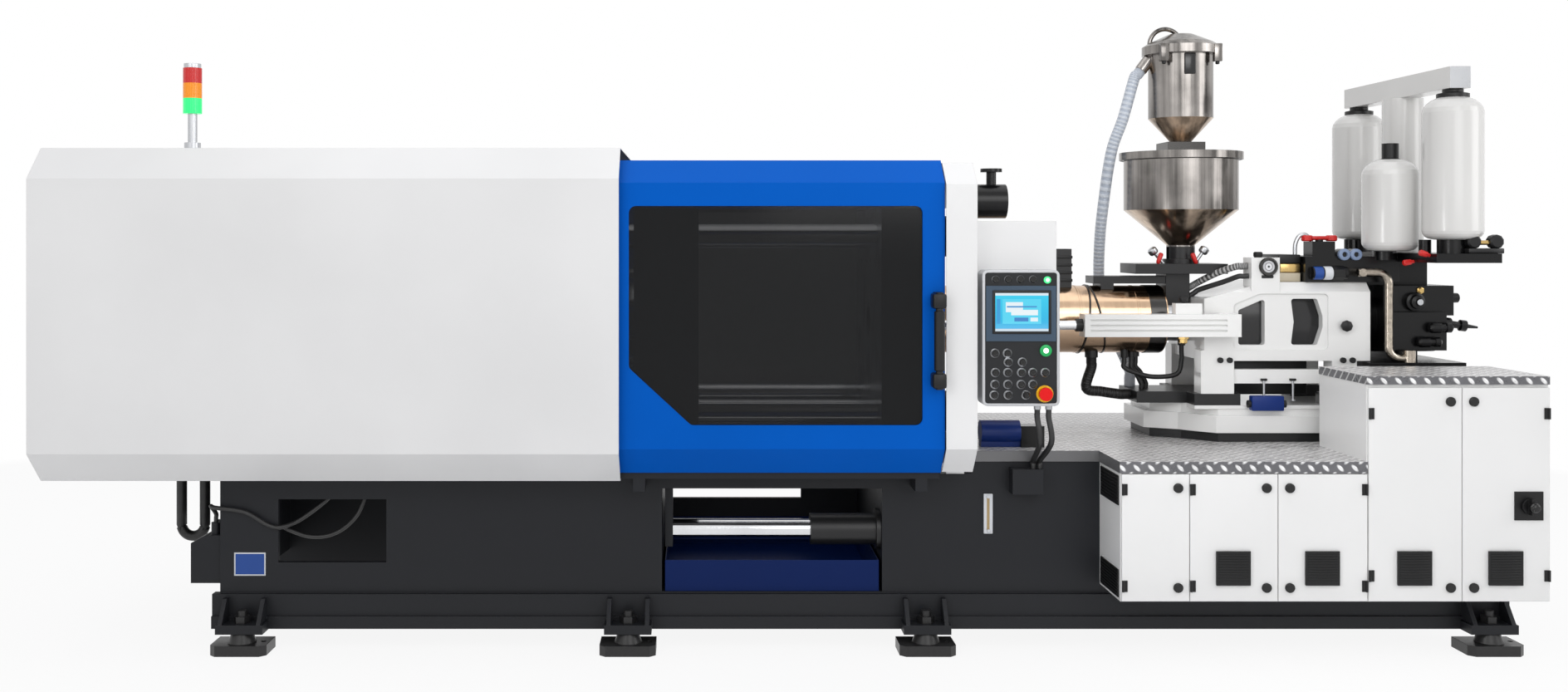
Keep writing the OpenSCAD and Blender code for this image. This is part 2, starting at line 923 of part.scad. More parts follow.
// Both ends of a hose stay straight for half of their first stretch
function steady(p) = let (k = len(p) - 1) concat([p[0], (p[0] + p[1]) / 2], [for (i = [1 : k - 1]) p[i]],
    [(p[k - 1] + p[k]) / 2, p[k]]);
module hose(points, d, side, n) {
    line = route(steady(points), n);
    rings = len(line);
    polyhedron(
        points = [for (i = [0 : rings - 1]) each hoop(line[i], heading(line, i), side, d / 2)],
        faces = concat([[for (a = [0 : hose_sides - 1]) a]],
            [for (i = [0 : rings - 2], a = [0 : hose_sides - 1]) let (b = (a + 1) % hose_sides, o = i * hose_sides)
                [o + a, o + hose_sides + a, o + hose_sides + b, o + b]],
            [[for (a = [hose_sides - 1 : -1 : 0]) (rings - 1) * hose_sides + a]]));
}

// Base: welded box with a drop opening between the platens, a side window and an oil tank at the back
beam_line = [[-base_y + wall, beam_low], [-beam_out, beam_low], [-beam_out, beam_step], [-beam_in, beam_step],
    [-beam_in, beam_top], [-base_y + wall, beam_top]];
module foot_bracket(x) {
    block([x - foot_plate_x / 2, x + foot_plate_x / 2], [-foot_plate_out, -beam_in],
        [beam_low, beam_low + foot_plate_t]);
    for (s = [-1, 1]) translate([x + s * gusset_off, 0, 0]) along_x([-gusset_t / 2, gusset_t / 2])
        polygon([[-beam_in, beam_low + foot_plate_t], [-foot_plate_out, beam_low + foot_plate_t],
            [-beam_out - gusset_out, beam_top - gusset_drop], [-beam_in, beam_top - gusset_drop]]);
}
module base_frame() color(charcoal) difference() {
    union() {
        block([base_l, deck_l], [-base_y, base_y], [body_low, base_h]);
        block([deck_l, base_r], [-base_y, base_y], [body_low, deck_low]);
        block([tank_l, base_r], [base_y, tank_y], [body_low, deck_low]);
        both() {
            along_x([beam_l, base_r]) polygon(beam_line);
            for (x = foot_xs) foot_bracket(x);
        }
        block([gland_l, gland_l + gland_w], [-gland_out, -base_y], [gland_low, gland_top]);
    }
    block([base_l + wall, drop_l - wall], [-base_y + wall, base_y - wall], [beam_low - run, base_h - wall]);
    block([win_l, win_r], [-base_y - run, -base_y + wall + run], [win_low, win_top]);
    block([drop_l, drop_r], [-base_y - run, base_y - wall], [drop_low, drop_top]);
    block([drop_l, drop_r], [-way_y, way_y], [drop_top - run, base_h + run]);
    block([back_l, back_r], [base_y - wall - run, base_y + run], [back_low, drop_top]);
    block([drop_r + wall, deck_l + wall], [-base_y + wall, base_y - wall], [beam_low - run, base_h - wall]);
    block([deck_l + wall - run, base_r - wall], [-base_y + wall, base_y - wall], [beam_low - run, deck_low - wall]);
    block([tank_l + wall, base_r - wall], [base_y, tank_y - wall], [body_low + wall, deck_low - wall]);
    rod_x(trav_cyl_d + 2 * gap, [drop_r - run, drop_r + wall + run], trav_y, trav_z);
    both() for (x = foot_xs) rod_z(stud_d + 2 * gap, [beam_low - run, beam_low + foot_plate_t + run], x, -foot_y);
}
module levelling_feet() color(black) both() for (x = foot_xs) difference() {
    union() {
        translate([x, -foot_y, 0]) linear_extrude(pad_t) polygon([[-pad_x / 2, -pad_y / 2 + pad_cut],
            [-pad_x / 2 + pad_cut, -pad_y / 2], [pad_x / 2 - pad_cut, -pad_y / 2], [pad_x / 2, -pad_y / 2 + pad_cut],
            [pad_x / 2, pad_y / 2], [-pad_x / 2, pad_y / 2]]);
        translate([x, -foot_y, pad_t]) cylinder(h = beam_low - pad_t, d1 = boss_d, d2 = boss_top_d);
        rod_z(stud_d, [0, stud_top], x, -foot_y);
        translate([x, -foot_y, beam_low + foot_plate_t]) cylinder(h = nut_t, d = nut_d, $fn = 6);
    }
    rod_z(anchor_d, [-run, pad_t + run], x + anchor_off, -foot_y);
}
// Deck of chequer plate with folded treads on its open edges
deck_line = [[deck_l, -base_y - deck_t], [x_low - deck_t, -base_y - deck_t], [x_low - deck_t, -guard_y],
    [x_tall, -guard_y], [x_tall, tall_back], [x_r, tall_back], [x_r, tank_y + deck_t], [deck_l, tank_y + deck_t]];
module deck_plates() color(steel) {
    translate([0, 0, deck_low]) linear_extrude(deck_t) polygon(deck_line);
    block([deck_l, x_low], [-base_y - deck_t, -base_y], [deck_z - deck_trim, deck_low]);
    block([x_low - deck_t, x_low], [-guard_y, -base_y - deck_t], [deck_z - deck_trim, deck_low]);
    block([x_low, x_tall], [-guard_y, -guard_y + deck_t], [deck_z - deck_trim, deck_low]);
    block([deck_l, x_r], [tank_y, tank_y + deck_t], [deck_z - deck_trim, deck_low]);
}
module drip_tray() color(navy) difference() {
    block([tray_l, tray_r], [-tray_y, base_y - wall - tray_t], [drop_low, drop_low + tray_h]);
    block([tray_l + tray_t, tray_r - tray_t], [-tray_y + tray_t, base_y - wall - 2 * tray_t],
        [drop_low + tray_t, drop_low + tray_h + run]);
}
module lubrication_unit() color(charcoal) {
    along_y([lube_y, lube_y + lube_w]) polygon([[base_l - lube_out, lube_low], [base_l, lube_low],
        [base_l, lube_top + lube_rise], [base_l - lube_flat, lube_top + lube_rise], [base_l - lube_out, lube_top]]);
    for (k = [0 : lube_ports - 1]) rod_z(lube_port_d, [lube_top, lube_top + lube_rise + lube_port],
        base_l - lube_port_in, lube_y + lube_port_in + k * lube_port);
}
// Clamp: rear platen, four tie bars, fixed platen, direct hydraulic cylinder
module tie_bars() color(chrome) four() rod_x(tie_d, [x_rear_l - tie_end, x_fix_r + tie_end], 0, 0);
module tie_bar_nuts() color(black) four() difference() {
    for (x = [x_rear_l - tie_nut_t, x_fix_r]) rod_x(tie_nut_d, [x, x + tie_nut_t], 0, 0);
    rod_x(tie_d + 2 * gap, [x_rear_l - tie_end - run, x_fix_r + tie_end + run], 0, 0);
}
module rear_platen() color(charcoal) difference() {
    block([x_rear_l, x_rear_r], [-platen_y, platen_y], [base_h, axis_z + platen_up]);
    four() rod_x(tie_d + 2 * gap, [x_rear_l - run, x_rear_r + run], 0, 0);
    rod_x(cyl_d + 2 * gap, [x_rear_l - run, x_rear_r + run], 0, axis_z);
}
module bolt_holes(x) for (a = bolt_shares, b = bolt_shares) if (abs(a) + abs(b) > 1)
    rod_x(bolt_d, x, a * bolt_pitch, axis_z + b * bolt_pitch);
module fixed_platen() color(charcoal) difference() {
    block([x_fix, x_fix_r], [-platen_y, platen_y], [base_h, axis_z + platen_up]);
    four() rod_x(tie_d + 2 * gap, [x_fix - run, x_fix_r + run], 0, 0);
    rod_x(locating_d, [x_fix - run, x_fix + locating_deep], 0, axis_z);
    rod_x(nozzle_hole_d, [x_fix, x_fix_r], 0, axis_z);
    rod_x(counter_d, [x_fix_r - counter_deep, x_fix_r + run], 0, axis_z);
    bolt_holes([x_fix - run, x_fix + bolt_deep]);
}
module clamp_cylinder() color(charcoal) difference() {
    union() {
        rod_x(cyl_d, [cyl_l, x_rear_r], 0, axis_z);
        rod_x(cyl_flange_d, [x_rear_l - cyl_flange_t, x_rear_l], 0, axis_z);
        rod_x(cyl_flange_d, [cyl_l, cyl_l + cyl_flange_t], 0, axis_z);
        for (x = cyl_port_xs) rod_z(cyl_port_d, [cyl_port_low, axis_z - ram_d / 2 - wall], x, 0);
    }
    rod_x(ram_d + 2 * gap, [cyl_l + cyl_cap, x_rear_r + run], 0, axis_z);
}
module clamp_ram() color(chrome) rod_x(ram_d, [x_rear_r - ram_in, x_mov_l], 0, axis_z);
module moving_platen() color(charcoal) difference() {
    union() {
        block([x_mov_l, x_mov_r], [-platen_y, platen_y], [base_h + shoe_t, axis_z + platen_up]);
        both() block([x_mov_l - shoe_over, x_mov_r + shoe_over], [-platen_y, -way_y], [base_h, base_h + shoe_t]);
        both() rod_x(ej_cyl_d, [x_ej_cyl, x_mov_l], -ej_cyl_y, axis_z);
        block([hanger_l, hanger_l + hanger_t], [trav_y - hanger_w / 2, trav_y + hanger_w / 2],
            [trav_z - hanger_w, base_h + shoe_t]);
    }
    four() rod_x(tie_d + 2 * gap, [x_mov_l - run, x_mov_r + run], 0, 0);
    for (sy = [-1, 1], sz = [-1, 1])
        rod_x(ej_rod_d + 2 * gap, [x_mov_l - run, x_mov_r + run], sy * ej_rod_y, axis_z + sz * ej_rod_y);
    bolt_holes([x_mov_r - bolt_deep, x_mov_r + run]);
    both() rod_x(ej_pull_d + 2 * gap, [x_ej_cyl - run, x_mov_l - run], -ej_cyl_y, axis_z);
}
module traverse_rod() color(chrome)
    rod_x(trav_d, [hanger_l + hanger_t, trav_cyl_l + trav_in], trav_y, trav_z);
module traverse_cylinder() color(charcoal) difference() {
    union() {
        rod_x(trav_cyl_d, [trav_cyl_l, trav_cyl_l + trav_cyl_len], trav_y, trav_z);
        rod_x(trav_flange_d, [drop_r - trav_flange_t, drop_r], trav_y, trav_z);
    }
    rod_x(trav_d + 2 * gap, [trav_cyl_l - run, trav_cyl_l + trav_cyl_len - run], trav_y, trav_z);
}
module ejector() color(steel) difference() {
    union() {
        block([x_ej - ej_plate_t, x_ej], [-ej_plate_y, ej_plate_y], [axis_z - ej_plate_z, axis_z + ej_plate_z]);
        for (sy = [-1, 1], sz = [-1, 1])
            rod_x(ej_rod_d, [x_ej, x_mov_r - run], sy * ej_rod_y, axis_z + sz * ej_rod_y);
        both() rod_x(ej_pull_d, [x_ej, x_ej_cyl + ej_rod_d], -ej_cyl_y, axis_z);
    }
    rod_x(ram_d + 2 * gap, [x_ej - ej_plate_t - run, x_ej + run], 0, axis_z);
}

// Guards: folded covers over the clamp, sliding gates, a portal at the fixed platen
cover_line = [[-cover_lip, base_h], [-guard_y + cover_bevel, base_h], [-guard_y, cover_face_low],
    [-guard_y, cover_face_top], [-guard_y + cover_bevel, cover_top], [-seam, cover_top]];
module cover_half() {
    along_x([x_l, x_cov]) polygon(sheet(cover_line, sheet_t));
    along_x([x_l, x_l + sheet_t]) polygon(concat(cover_line, [[-seam, base_h]]));
}
module clamp_cover_front() color(white) cover_half();
module clamp_cover_rear() color(white) mirror([0, 1, 0]) cover_half();
gate_line = [[-gate_in, gate_low], [-gate_y + gate_bevel, gate_low], [-gate_y, gate_face_low],
    [-gate_y, gate_face_top], [-gate_y + gate_bevel, gate_top], [-gate_in, gate_top]];
pane_line = [[pane_l + pane_cut_x, pane_low], [pane_r, pane_low], [pane_r, pane_top], [pane_l, pane_top],
    [pane_l, pane_low + pane_cut_z]];
rebate_line = [[pane_l + pane_cut_x - pane_edge / 2, pane_low - pane_edge], [pane_r + pane_edge, pane_low - pane_edge],
    [pane_r + pane_edge, pane_top + pane_edge], [pane_l - pane_edge, pane_top + pane_edge],
    [pane_l - pane_edge, pane_low + pane_cut_z - pane_edge / 2]];
module gate() difference() {
    along_x([gate_l, gate_r]) polygon(sheet(gate_line, gate_t));
    along_y([-gate_y - run, -gate_y + gate_t + run]) polygon(rounded(pane_line, pane_round, round_steps));
    along_y([-gate_y + gate_t - pane_edge_deep, -gate_y + gate_t + run])
        polygon(rounded(rebate_line, pane_round, round_steps));
}
module pane() along_y([-gate_y + gate_t - pane_edge_deep, -gate_y + gate_t - pane_edge_deep + pane_t])
    polygon(rounded(rebate_line, pane_round, round_steps));
module handle() {
    rod_z(handle_d, [handle_low, handle_top], handle_x, -handle_out + handle_d / 2);
    for (z = [handle_low, handle_top - handle_foot]) block([handle_x - handle_d / 2, handle_x + handle_d / 2],
        [-handle_out + handle_d / 2, -gate_y], [z, z + handle_foot]);
}
module front_gate() color(blue) gate();
module front_window() color(black) pane();
module front_handle() color(black) handle();
module rear_gate() color(blue) mirror([0, 1, 0]) {
    gate();
    handle();
}
module rear_window() color(black) mirror([0, 1, 0]) pane();
module gate_rails() color(steel) both() {
    block([rail_l, rail_r], [-rail_out, -rail_in], [base_h + sheet_t, gate_low - gap]);
    block([rail_l, rail_r], [-rail_out, -rail_in], [gate_top - gate_t - rail_h, gate_top - gate_t - gap]);
    for (x = [rail_l, x_cov - 2 * rail_foot]) block([x, x + rail_foot], [-gate_in + hanger_gap, -rail_in],
        [gate_top - gate_t - rail_h, cover_top - sheet_t]);
    for (x = [x_cov + rail_foot, rail_r - 2 * rail_foot])
        block([x, x + rail_foot], [-rail_out, -base_y], [base_h - rail_foot, base_h + sheet_t]);
}
post_line = [[-cover_lip, post_low], [-post_y + post_bevel, post_low], [-post_y, post_face_low],
    [-post_y, post_face_top], [-post_y + post_bevel, post_top]];
post_outline = concat(post_line, [for (p = back(post_line)) [-p[0], p[1]]]);
module guard_post() color(white) {
    along_x([x_post, x_post_r]) polygon(sheet(post_outline, post_t));
    along_x([x_post_r - post_t, x_post_r]) difference() {
        polygon(post_outline);
        polygon(box_2d([-post_hole_y, post_hole_y], [post_low - run, post_hole_top]));
    }
    both() block([x_post + post_foot, x_post_r], [-base_y, -cover_lip], [base_h, post_low + post_t]);
}
module signal_tower() color(black) {
    top = cover_top + tower_flange_t + tower_pole_h;
    rod_z(tower_flange_d, [cover_top, cover_top + tower_flange_t], tower_x, tower_y);
    rod_z(tower_pole_d, [cover_top, top], tower_x, tower_y);
    rod_z(tower_cap_d, [top + lens_count * lens_h, top + lens_count * lens_h + tower_cap_h], tower_x, tower_y);
}
module tower_lenses() color(white) {
    top = cover_top + tower_flange_t + tower_pole_h;
    for (k = [0 : lens_count - 1]) translate([tower_x, tower_y, top + k * lens_h]) cylinder(h = lens_h, d = lens_d);
}

// Operator panel on a column beside the guard post
panel_r = panel_l + panel_w;
panel_top = panel_low + panel_h;
panel_y = -guard_y;
face_y = panel_y + face_deep;
function panel_at(x, z) = [panel_l + x * panel_w, panel_low + z * panel_h];
module at_panel(x, z) translate([panel_at(x, z)[0], 0, panel_at(x, z)[1]]) children();
module panel_column() color(white)
    block([x_post_r, column_r], [column_y, column_back], [column_low, column_top]);
module panel_housing() color(white) difference() {
    union() {
        along_y([panel_y, column_y])
            polygon(rounded(box_2d([panel_l, panel_r], [panel_low, panel_top]), panel_round, round_steps));
        for (s = panel_cable_shares) at_panel(s, 0) rod_z(gland_d, [-gland_h, panel_round], 0, column_y - gland_d);
    }
    along_y([panel_y - run, face_y]) polygon(rounded(box_2d([panel_l + panel_rim, panel_r - panel_rim],
        [panel_low + panel_rim, panel_top - panel_rim]), panel_round - panel_rim, round_steps));
    at_panel(start_x_share, start_z_share) rod_y(start_d + 2 * gap, [face_y - run, face_y + push_deep], 0, 0);
    at_panel(stop_x_share, stop_z_share) rod_y(stop_stem_d + 2 * gap, [face_y - run, face_y + push_deep], 0, 0);
}
module panel_face() color(charcoal) difference() {
    union() {
        along_y([face_y - face_t, face_y]) polygon(rounded(box_2d([panel_l + panel_rim + gap, panel_r - panel_rim - gap],
            [panel_low + panel_rim + gap, panel_top - panel_rim - gap]), panel_round - panel_rim, round_steps));
        for (i = [0 : len(key_row_shares) - 1], k = [0 : len(key_col_shares) - 1]) if (key_map_shares[i][k] > 0)
            at_panel(key_col_shares[k], key_row_shares[i]) rod_y(key_d, [face_y - face_t - key_out, face_y], 0, 0);
        at_panel(selector_x_share, selector_z_share) {
            rod_y(selector_d, [face_y - face_t - key_out, face_y], 0, 0);
            block([-selector_fin / 2, selector_fin / 2], [face_y - face_t - selector_out, face_y],
                [-selector_d / 2, selector_d / 2]);
        }
        at_panel(stop_x_share, stop_z_share)
            rod_y(stop_ring_d, [face_y - face_t - stop_ring_t, face_y], 0, 0);
        along_y([face_y - face_t - bezel_out, face_y]) polygon(box_2d(
            [panel_at(bezel_l_share, 0)[0], panel_at(bezel_r_share, 0)[0]],
            [panel_at(0, bezel_low_share)[1], panel_at(0, bezel_top_share)[1]]));
    }
    at_panel(start_x_share, start_z_share) rod_y(start_d + 2 * gap, [face_y - run, face_y + run], 0, 0);
    at_panel(stop_x_share, stop_z_share) rod_y(stop_stem_d + 2 * gap, [face_y - 2 * run, face_y + run], 0, 0);
    along_y([face_y - face_t - bezel_out - run, face_y - face_t - bezel_out + screen_t]) polygon(screen_line);
}
screen_line = box_2d([panel_at(screen_l_share, 0)[0], panel_at(screen_r_share, 0)[0]],
    [panel_at(0, screen_low_share)[1], panel_at(0, screen_top_share)[1]]);
module panel_screen() color(blue)
    along_y([face_y - face_t - bezel_out, face_y - face_t - bezel_out + screen_t]) polygon(screen_line);
module start_button() color([0.1, 0.7, 0.3]) at_panel(start_x_share, start_z_share)
    rod_y(start_d, [face_y - face_t - start_out, face_y + push_deep / 2], 0, 0);
module e_stop() color([0.8, 0.05, 0.05]) at_panel(stop_x_share, stop_z_share) {
    rod_y(stop_stem_d, [face_y - face_t - stop_ring_t - stop_stand, face_y + push_deep / 2], 0, 0);
    rod_y(stop_d, [face_y - face_t - stop_ring_t - stop_stand - stop_head_t, face_y - face_t - stop_ring_t - stop_stand],
        0, 0);
}
module panel_cables() color(black) for (s = panel_cable_shares) let (x = panel_at(s, 0)[0], y = column_y - gland_d,
    z = panel_low - gland_h, q = gland_l + gland_w * s, drop = z - gland_top, out = gland_out - gland_d)
    hose([[x, y, z], [x, y, z - drop / 8], [x + cable_d, y + cable_d, z - drop / 2],
        [q, -out, gland_top + drop / 8], [q, -out, gland_top]], cable_d, [0, 1, 0], 8);

// Cabinets with five doors
module cabinet() color(white) difference() {
    union() {
        block([x_low, x_tall], [frame_y, -base_y], [cab_low, cab_mid]);
        block([x_tall, x_r], [frame_y, -base_y], [cab_low, deck_z]);
        block([x_tall, x_r], [frame_y, tall_back], [deck_z, tall_top - deck_t]);
        block([x_tall - slit, x_r], [-guard_y, tall_back], [tall_top - tall_trim, tall_top]);
    }
    for (k = [0 : 2]) block([door_ls[k] + wall, door_rs[k] - wall], [frame_y - run, -base_y - wall],
        [door_low + wall, door_top - wall]);
    for (k = [3 : 4]) {
        block([door_ls[k] + wall, door_rs[k] - wall], [frame_y - run, -base_y - wall],
            [door_low + wall, tall_door_top - wall]);
        block([door_ls[k] + wall, door_rs[k] - wall], [frame_y - run, tall_back - wall],
            [deck_z + wall, tall_door_top - wall]);
    }
    for (z = [cab_low + louvre_in, cab_mid - louvre_in - louvre_count * louvre_pitch], k = [0 : louvre_count - 1])
        block([x_low - run, x_low + louvre_deep], [frame_y + louvre_in, -base_y - louvre_in],
            [z + k * louvre_pitch, z + k * louvre_pitch + louvre_h]);
}
module door(k) {
    l = door_ls[k];
    r = door_rs[k];
    low = door_low;
    h = door_tops[k] - low;
    hinge = door_sides[k] > 0 ? l : r;
    s = door_sides[k];
    free = door_sides[k] > 0 ? r : l;
    block([l, r], [-guard_y, -guard_y + door_t], [low, low + h]);
    for (z = leaf_z_shares) let (leaf = [low + z * h - leaf_h / 2, low + z * h + leaf_h / 2]) {
        block([min(hinge, hinge + s * leaf_w), max(hinge, hinge + s * leaf_w)], [-guard_y - leaf_out, -guard_y], leaf);
        rod_z(knuckle_d, leaf, hinge + s * knuckle_in, -guard_y - knuckle_out);
    }
    for (z = [lock_end, h - lock_end]) rod_y(lock_d, [-guard_y - lock_out, -guard_y], free - s * lock_in, low + z);
    if (door_grilles[k] > 0) difference() {
        x = l + (r - l - grille) * grille_share;
        z = low + grille_low;
        block([x, x + grille], [-guard_y - grille_out, -guard_y], [z, z + grille]);
        for (i = [0 : slot_count - 1]) let (p = (grille - 2 * slot_rim) / slot_count)
            block([x + slot_rim, x + grille - slot_rim], [-guard_y - grille_out - run, -guard_y - grille_out + slot_deep],
                [z + slot_rim + i * p, z + slot_rim + i * p + p * slot_share]);
    }
    if (k == 4) block([switch_x - switch_plate / 2, switch_x + switch_plate / 2],
        [-guard_y - switch_plate_t, -guard_y], [switch_z - switch_plate / 2, switch_z + switch_plate / 2]);
}
module door_1() color(white) door(0);
module door_2() color(white) door(1);
module door_3() color(white) door(2);
module door_4() color(white) door(3);
module door_5() color(white) door(4);
module main_switch() color([0.8, 0.05, 0.05]) translate([switch_x, -guard_y - switch_plate_t, switch_z]) {
    rod_y(switch_d, [-switch_t, 0], 0, 0);
    block([-switch_bar / 2, switch_bar / 2], [-switch_t - switch_bar_t, 0], [-switch_d / 2, switch_d / 2]);
}

// Injection unit: base on the deck, housing with the barrel in front and the hydraulics behind
module injection_base() color(white) {
    line = [[house_l + inj_mid, -inj_y], [inj_r, -inj_y], [inj_r, inj_y], [house_l - inj_slant, inj_y],
        [house_l - inj_slant, -inj_mid], [house_l - inj_step, -inj_mid - inj_step], [house_l - inj_step / 3, -inj_y + inj_step]];
    slim = [[house_l + inj_mid + tier_in_top, -inj_y + tier_in_top], [inj_r - tier_in_top, -inj_y + tier_in_top],
        [inj_r - tier_in_top, inj_y - tier_in_top], [house_l - inj_slant + tier_in, inj_y - tier_in_top],
        [house_l - inj_slant + tier_in, -inj_mid], [house_l - inj_step + tier_in_top, -inj_mid - inj_step],
        [house_l - inj_step / 3 + tier_in_top, -inj_y + inj_step + tier_in_top]];
    translate([0, 0, deck_z]) linear_extrude(plinth_top - deck_z) polygon(slim);
    translate([0, 0, plinth_top]) linear_extrude(tier_top - plinth_top) polygon(line);
    translate([0, 0, tier_top]) linear_extrude(inj_top - tier_top) polygon(slim);
    both() block([leg_l - shoe_side, inj_r + carriage_stroke], [-house_y, -house_y + shoe_w],
        [inj_top - run, inj_top]);
}
house_line = [[house_l, house_low], [house_r, house_low], [house_r, house_top], [house_l + house_slope_x, house_top],
    [house_l, house_top - house_slope_z]];
win_1 = [[win_1_l, axis_z - win_half], [win_1_r, axis_z - win_half], [win_1_r, axis_z + win_half],
    [win_1_l, axis_z + win_half - 2 * win_slant]];
win_2 = [[win_2_l, axis_z - win_half], [win_2_r - win_slant, axis_z - win_half], [win_2_r, axis_z - win_slant],
    [win_2_r, axis_z + win_slant], [win_2_r - win_slant, axis_z + win_half], [win_2_l, axis_z + win_half],
    [win_2_l + win_slant / 2, axis_z]];
recess_line = [[win_1_l - recess_rim, axis_z - win_half - recess_rim], [win_2_r + recess_rim, axis_z - win_half - recess_rim],
    [win_2_r + recess_rim, axis_z + win_half + recess_rim], [win_1_r - win_slant, axis_z + win_half + recess_rim],
    [win_1_l - recess_rim, axis_z + win_half - win_slant]];
module injection_housing() color(white) difference() {
    union() {
        intersection() {
            along_y([-house_y, house_y]) polygon(house_line);
            along_x([house_l, house_r]) polygon([[-house_y, house_low], [house_y, house_low],
                [house_y, house_top - house_cut], [house_y - house_cut, house_top],
                [-house_y + house_cut, house_top], [-house_y, house_top - house_cut]]);
        }
        block([gauge_l, gauge_l + gauge_w], [-house_y, -house_y + gauge_deep], [house_top - house_slope_z, gauge_top]);
        rod_x(house_bulge_d, [house_r - house_wall, house_r + house_bulge], 0, axis_z);
        both() {
            block([leg_l, leg_l + leg_w], [-house_y, -house_y + leg_t], [shoe_top, house_low + house_floor]);
            block([leg_2_l, leg_2_l + leg_2_w], [-house_y, -house_y + leg_t], [shoe_top, house_low + house_floor]);
            block([leg_l, leg_2_l + leg_2_w], [-house_y + tier_in_top, -house_y + tier_in_top + tie_beam_t],
                [tie_beam_low, tie_beam_top]);
            for (x = [leg_l + leg_w, leg_2_l + leg_2_w], k = [1, 3])
                rod_y(leg_bolt_d, [-house_y - leg_bolt_out, -house_y], x - k * leg_bolt_in, shoe_top + leg_bolt_rise);
        }
    }
    block([house_l + house_wall, house_r - house_wall], [-house_y + house_wall, house_y - house_wall],
        [house_low + house_floor, house_top - house_slope_z]);
    rod_x(barrel_d + 2 * gap, [house_l - run, house_l + house_wall + run], 0, axis_z);
    rod_x(piston_d + 2 * gap, [house_r - house_wall - run, house_r + house_bulge + run], 0, axis_z);
    both() along_y([-house_y - run, -house_y + house_wall + run]) {
        polygon(rounded(win_1, win_round, round_steps));
        polygon(rounded(win_2, win_round, round_steps));
    }
    both() along_y([-house_y - run, -house_y + recess_deep]) polygon(rounded(recess_line, recess_round, round_steps));
}
module carriage_saddle() color(black) both() {
    block([leg_l - shoe_side, leg_l + leg_w + shoe_side], [-house_y, -house_y + shoe_w], [inj_top, shoe_top]);
    block([leg_2_l - shoe_side, leg_2_l + leg_2_w + shoe_side], [-house_y, -house_y + shoe_w], [inj_top, shoe_top]);
    block([box_l, leg_l + leg_w], [-house_y + shoe_w, 0], [inj_top, shoe_top]);
}
module barrel() color(steel) difference() {
    union() {
        rod_x(barrel_d, [x_jacket, barrel_r], 0, axis_z);
        rod_x(nozzle_d, [x_nozzle_neck, x_jacket], 0, axis_z);
        translate([x_nozzle, 0, axis_z]) rotate([0, 90, 0])
            cylinder(h = x_nozzle_neck - x_nozzle, d1 = nozzle_tip_d / 2, d2 = nozzle_tip_d);
    }
    rod_x(nozzle_bore_d, [x_nozzle - run, x_screw], 0, axis_z);
    rod_x(bore_d, [x_screw - run, barrel_r + run], 0, axis_z);
    rod_z(feed_d, [axis_z, axis_z + barrel_d], x_hop - feed_d, 0);
}
module barrel_cover() color(bronze) difference() {
    rod_x(jacket_d, [x_jacket, x_jacket_r], 0, axis_z);
    rod_x(jacket_d - 2 * jacket_t, [x_jacket + jacket_end, x_jacket_r - jacket_end], 0, axis_z);
    rod_x(barrel_d + 2 * gap, [x_jacket - run, x_jacket_r + run], 0, axis_z);
}
module carriage_cylinders() color(white) both() difference() {
    union() {
        block([car_l, car_r], [-car_y - car_h / 2, -car_y + car_h / 2], [car_z - car_h / 2, car_z + car_h / 2]);
        block([car_l - car_cap, car_l], [-car_y - car_h / 2, -car_y + car_h / 2], [car_z - car_h / 2, car_z + car_h / 2]);
        block([car_tap_r - car_tap, car_tap_r], [-car_y - car_h / 4, -car_y + car_h / 4], [car_z, car_z + car_h / 2 + car_tap_h]);
        block([car_r, car_block_r], [-car_y - car_h / 2, -house_y], [car_z - car_h / 2, car_z + car_h / 2]);
    }
    for (k = [-1, 0, 1]) block([car_l, car_r], [-car_y - car_h / 2 - run, -car_y - car_h / 2 + car_flute],
        [car_z + k * 3 * car_flute - car_flute / 2, car_z + k * 3 * car_flute + car_flute / 2]);
    rod_x(car_bore, [car_l, car_r - run], -car_y, car_z);
    rod_x(car_rod_d + 2 * gap, [car_l - car_cap - run, car_l + run], -car_y, car_z);
}
module carriage_rods() color(chrome) both() rod_x(car_rod_d, [x_fix_r, car_rod_r], -car_y, car_z);
module hopper_base() color(black) {
    difference() {
        union() {
            block([throat_l, throat_r], [-throat_y, throat_y], [axis_z, flange_low]);
            block([flange_l, flange_r], [-flange_y, flange_y], [flange_low, flange_top]);
            rod_z(2 * neck_r, [flange_top, hopper_low], x_hop, 0);
            rod_z(2 * neck_flange_r, [flange_top, flange_top + hopper_rim], x_hop, 0);
            block([shelf_l, throat_l + run], [-shelf_y, shelf_y], [shelf_low, shelf_top]);
            block([shelf_post_l, shelf_post_l + shelf_post_w], [-shelf_y, shelf_y], [axis_z, shelf_low]);
            block([heater_l, heater_l + heater_w], [-heater_y, heater_y], [axis_z, heater_top]);
            for (k = [0 : len(port_ds) - 1]) rod_z(port_ds[k] + port_wall, [port_low, axis_z], port_xs[k], port_ys[k]);
            rod_z(bow_d + port_wall, [bow_low, axis_z], bow_x, port_ys[1]);
        }
        rod_x(jacket_d + 2 * gap, [x_jacket, x_jacket_r + 2 * gap], 0, axis_z);
        rod_x(barrel_d + 2 * gap, [x_jacket, house_l], 0, axis_z);
        rod_z(feed_d, [axis_z, hopper_low + run], x_hop - feed_d, 0);
    }
}
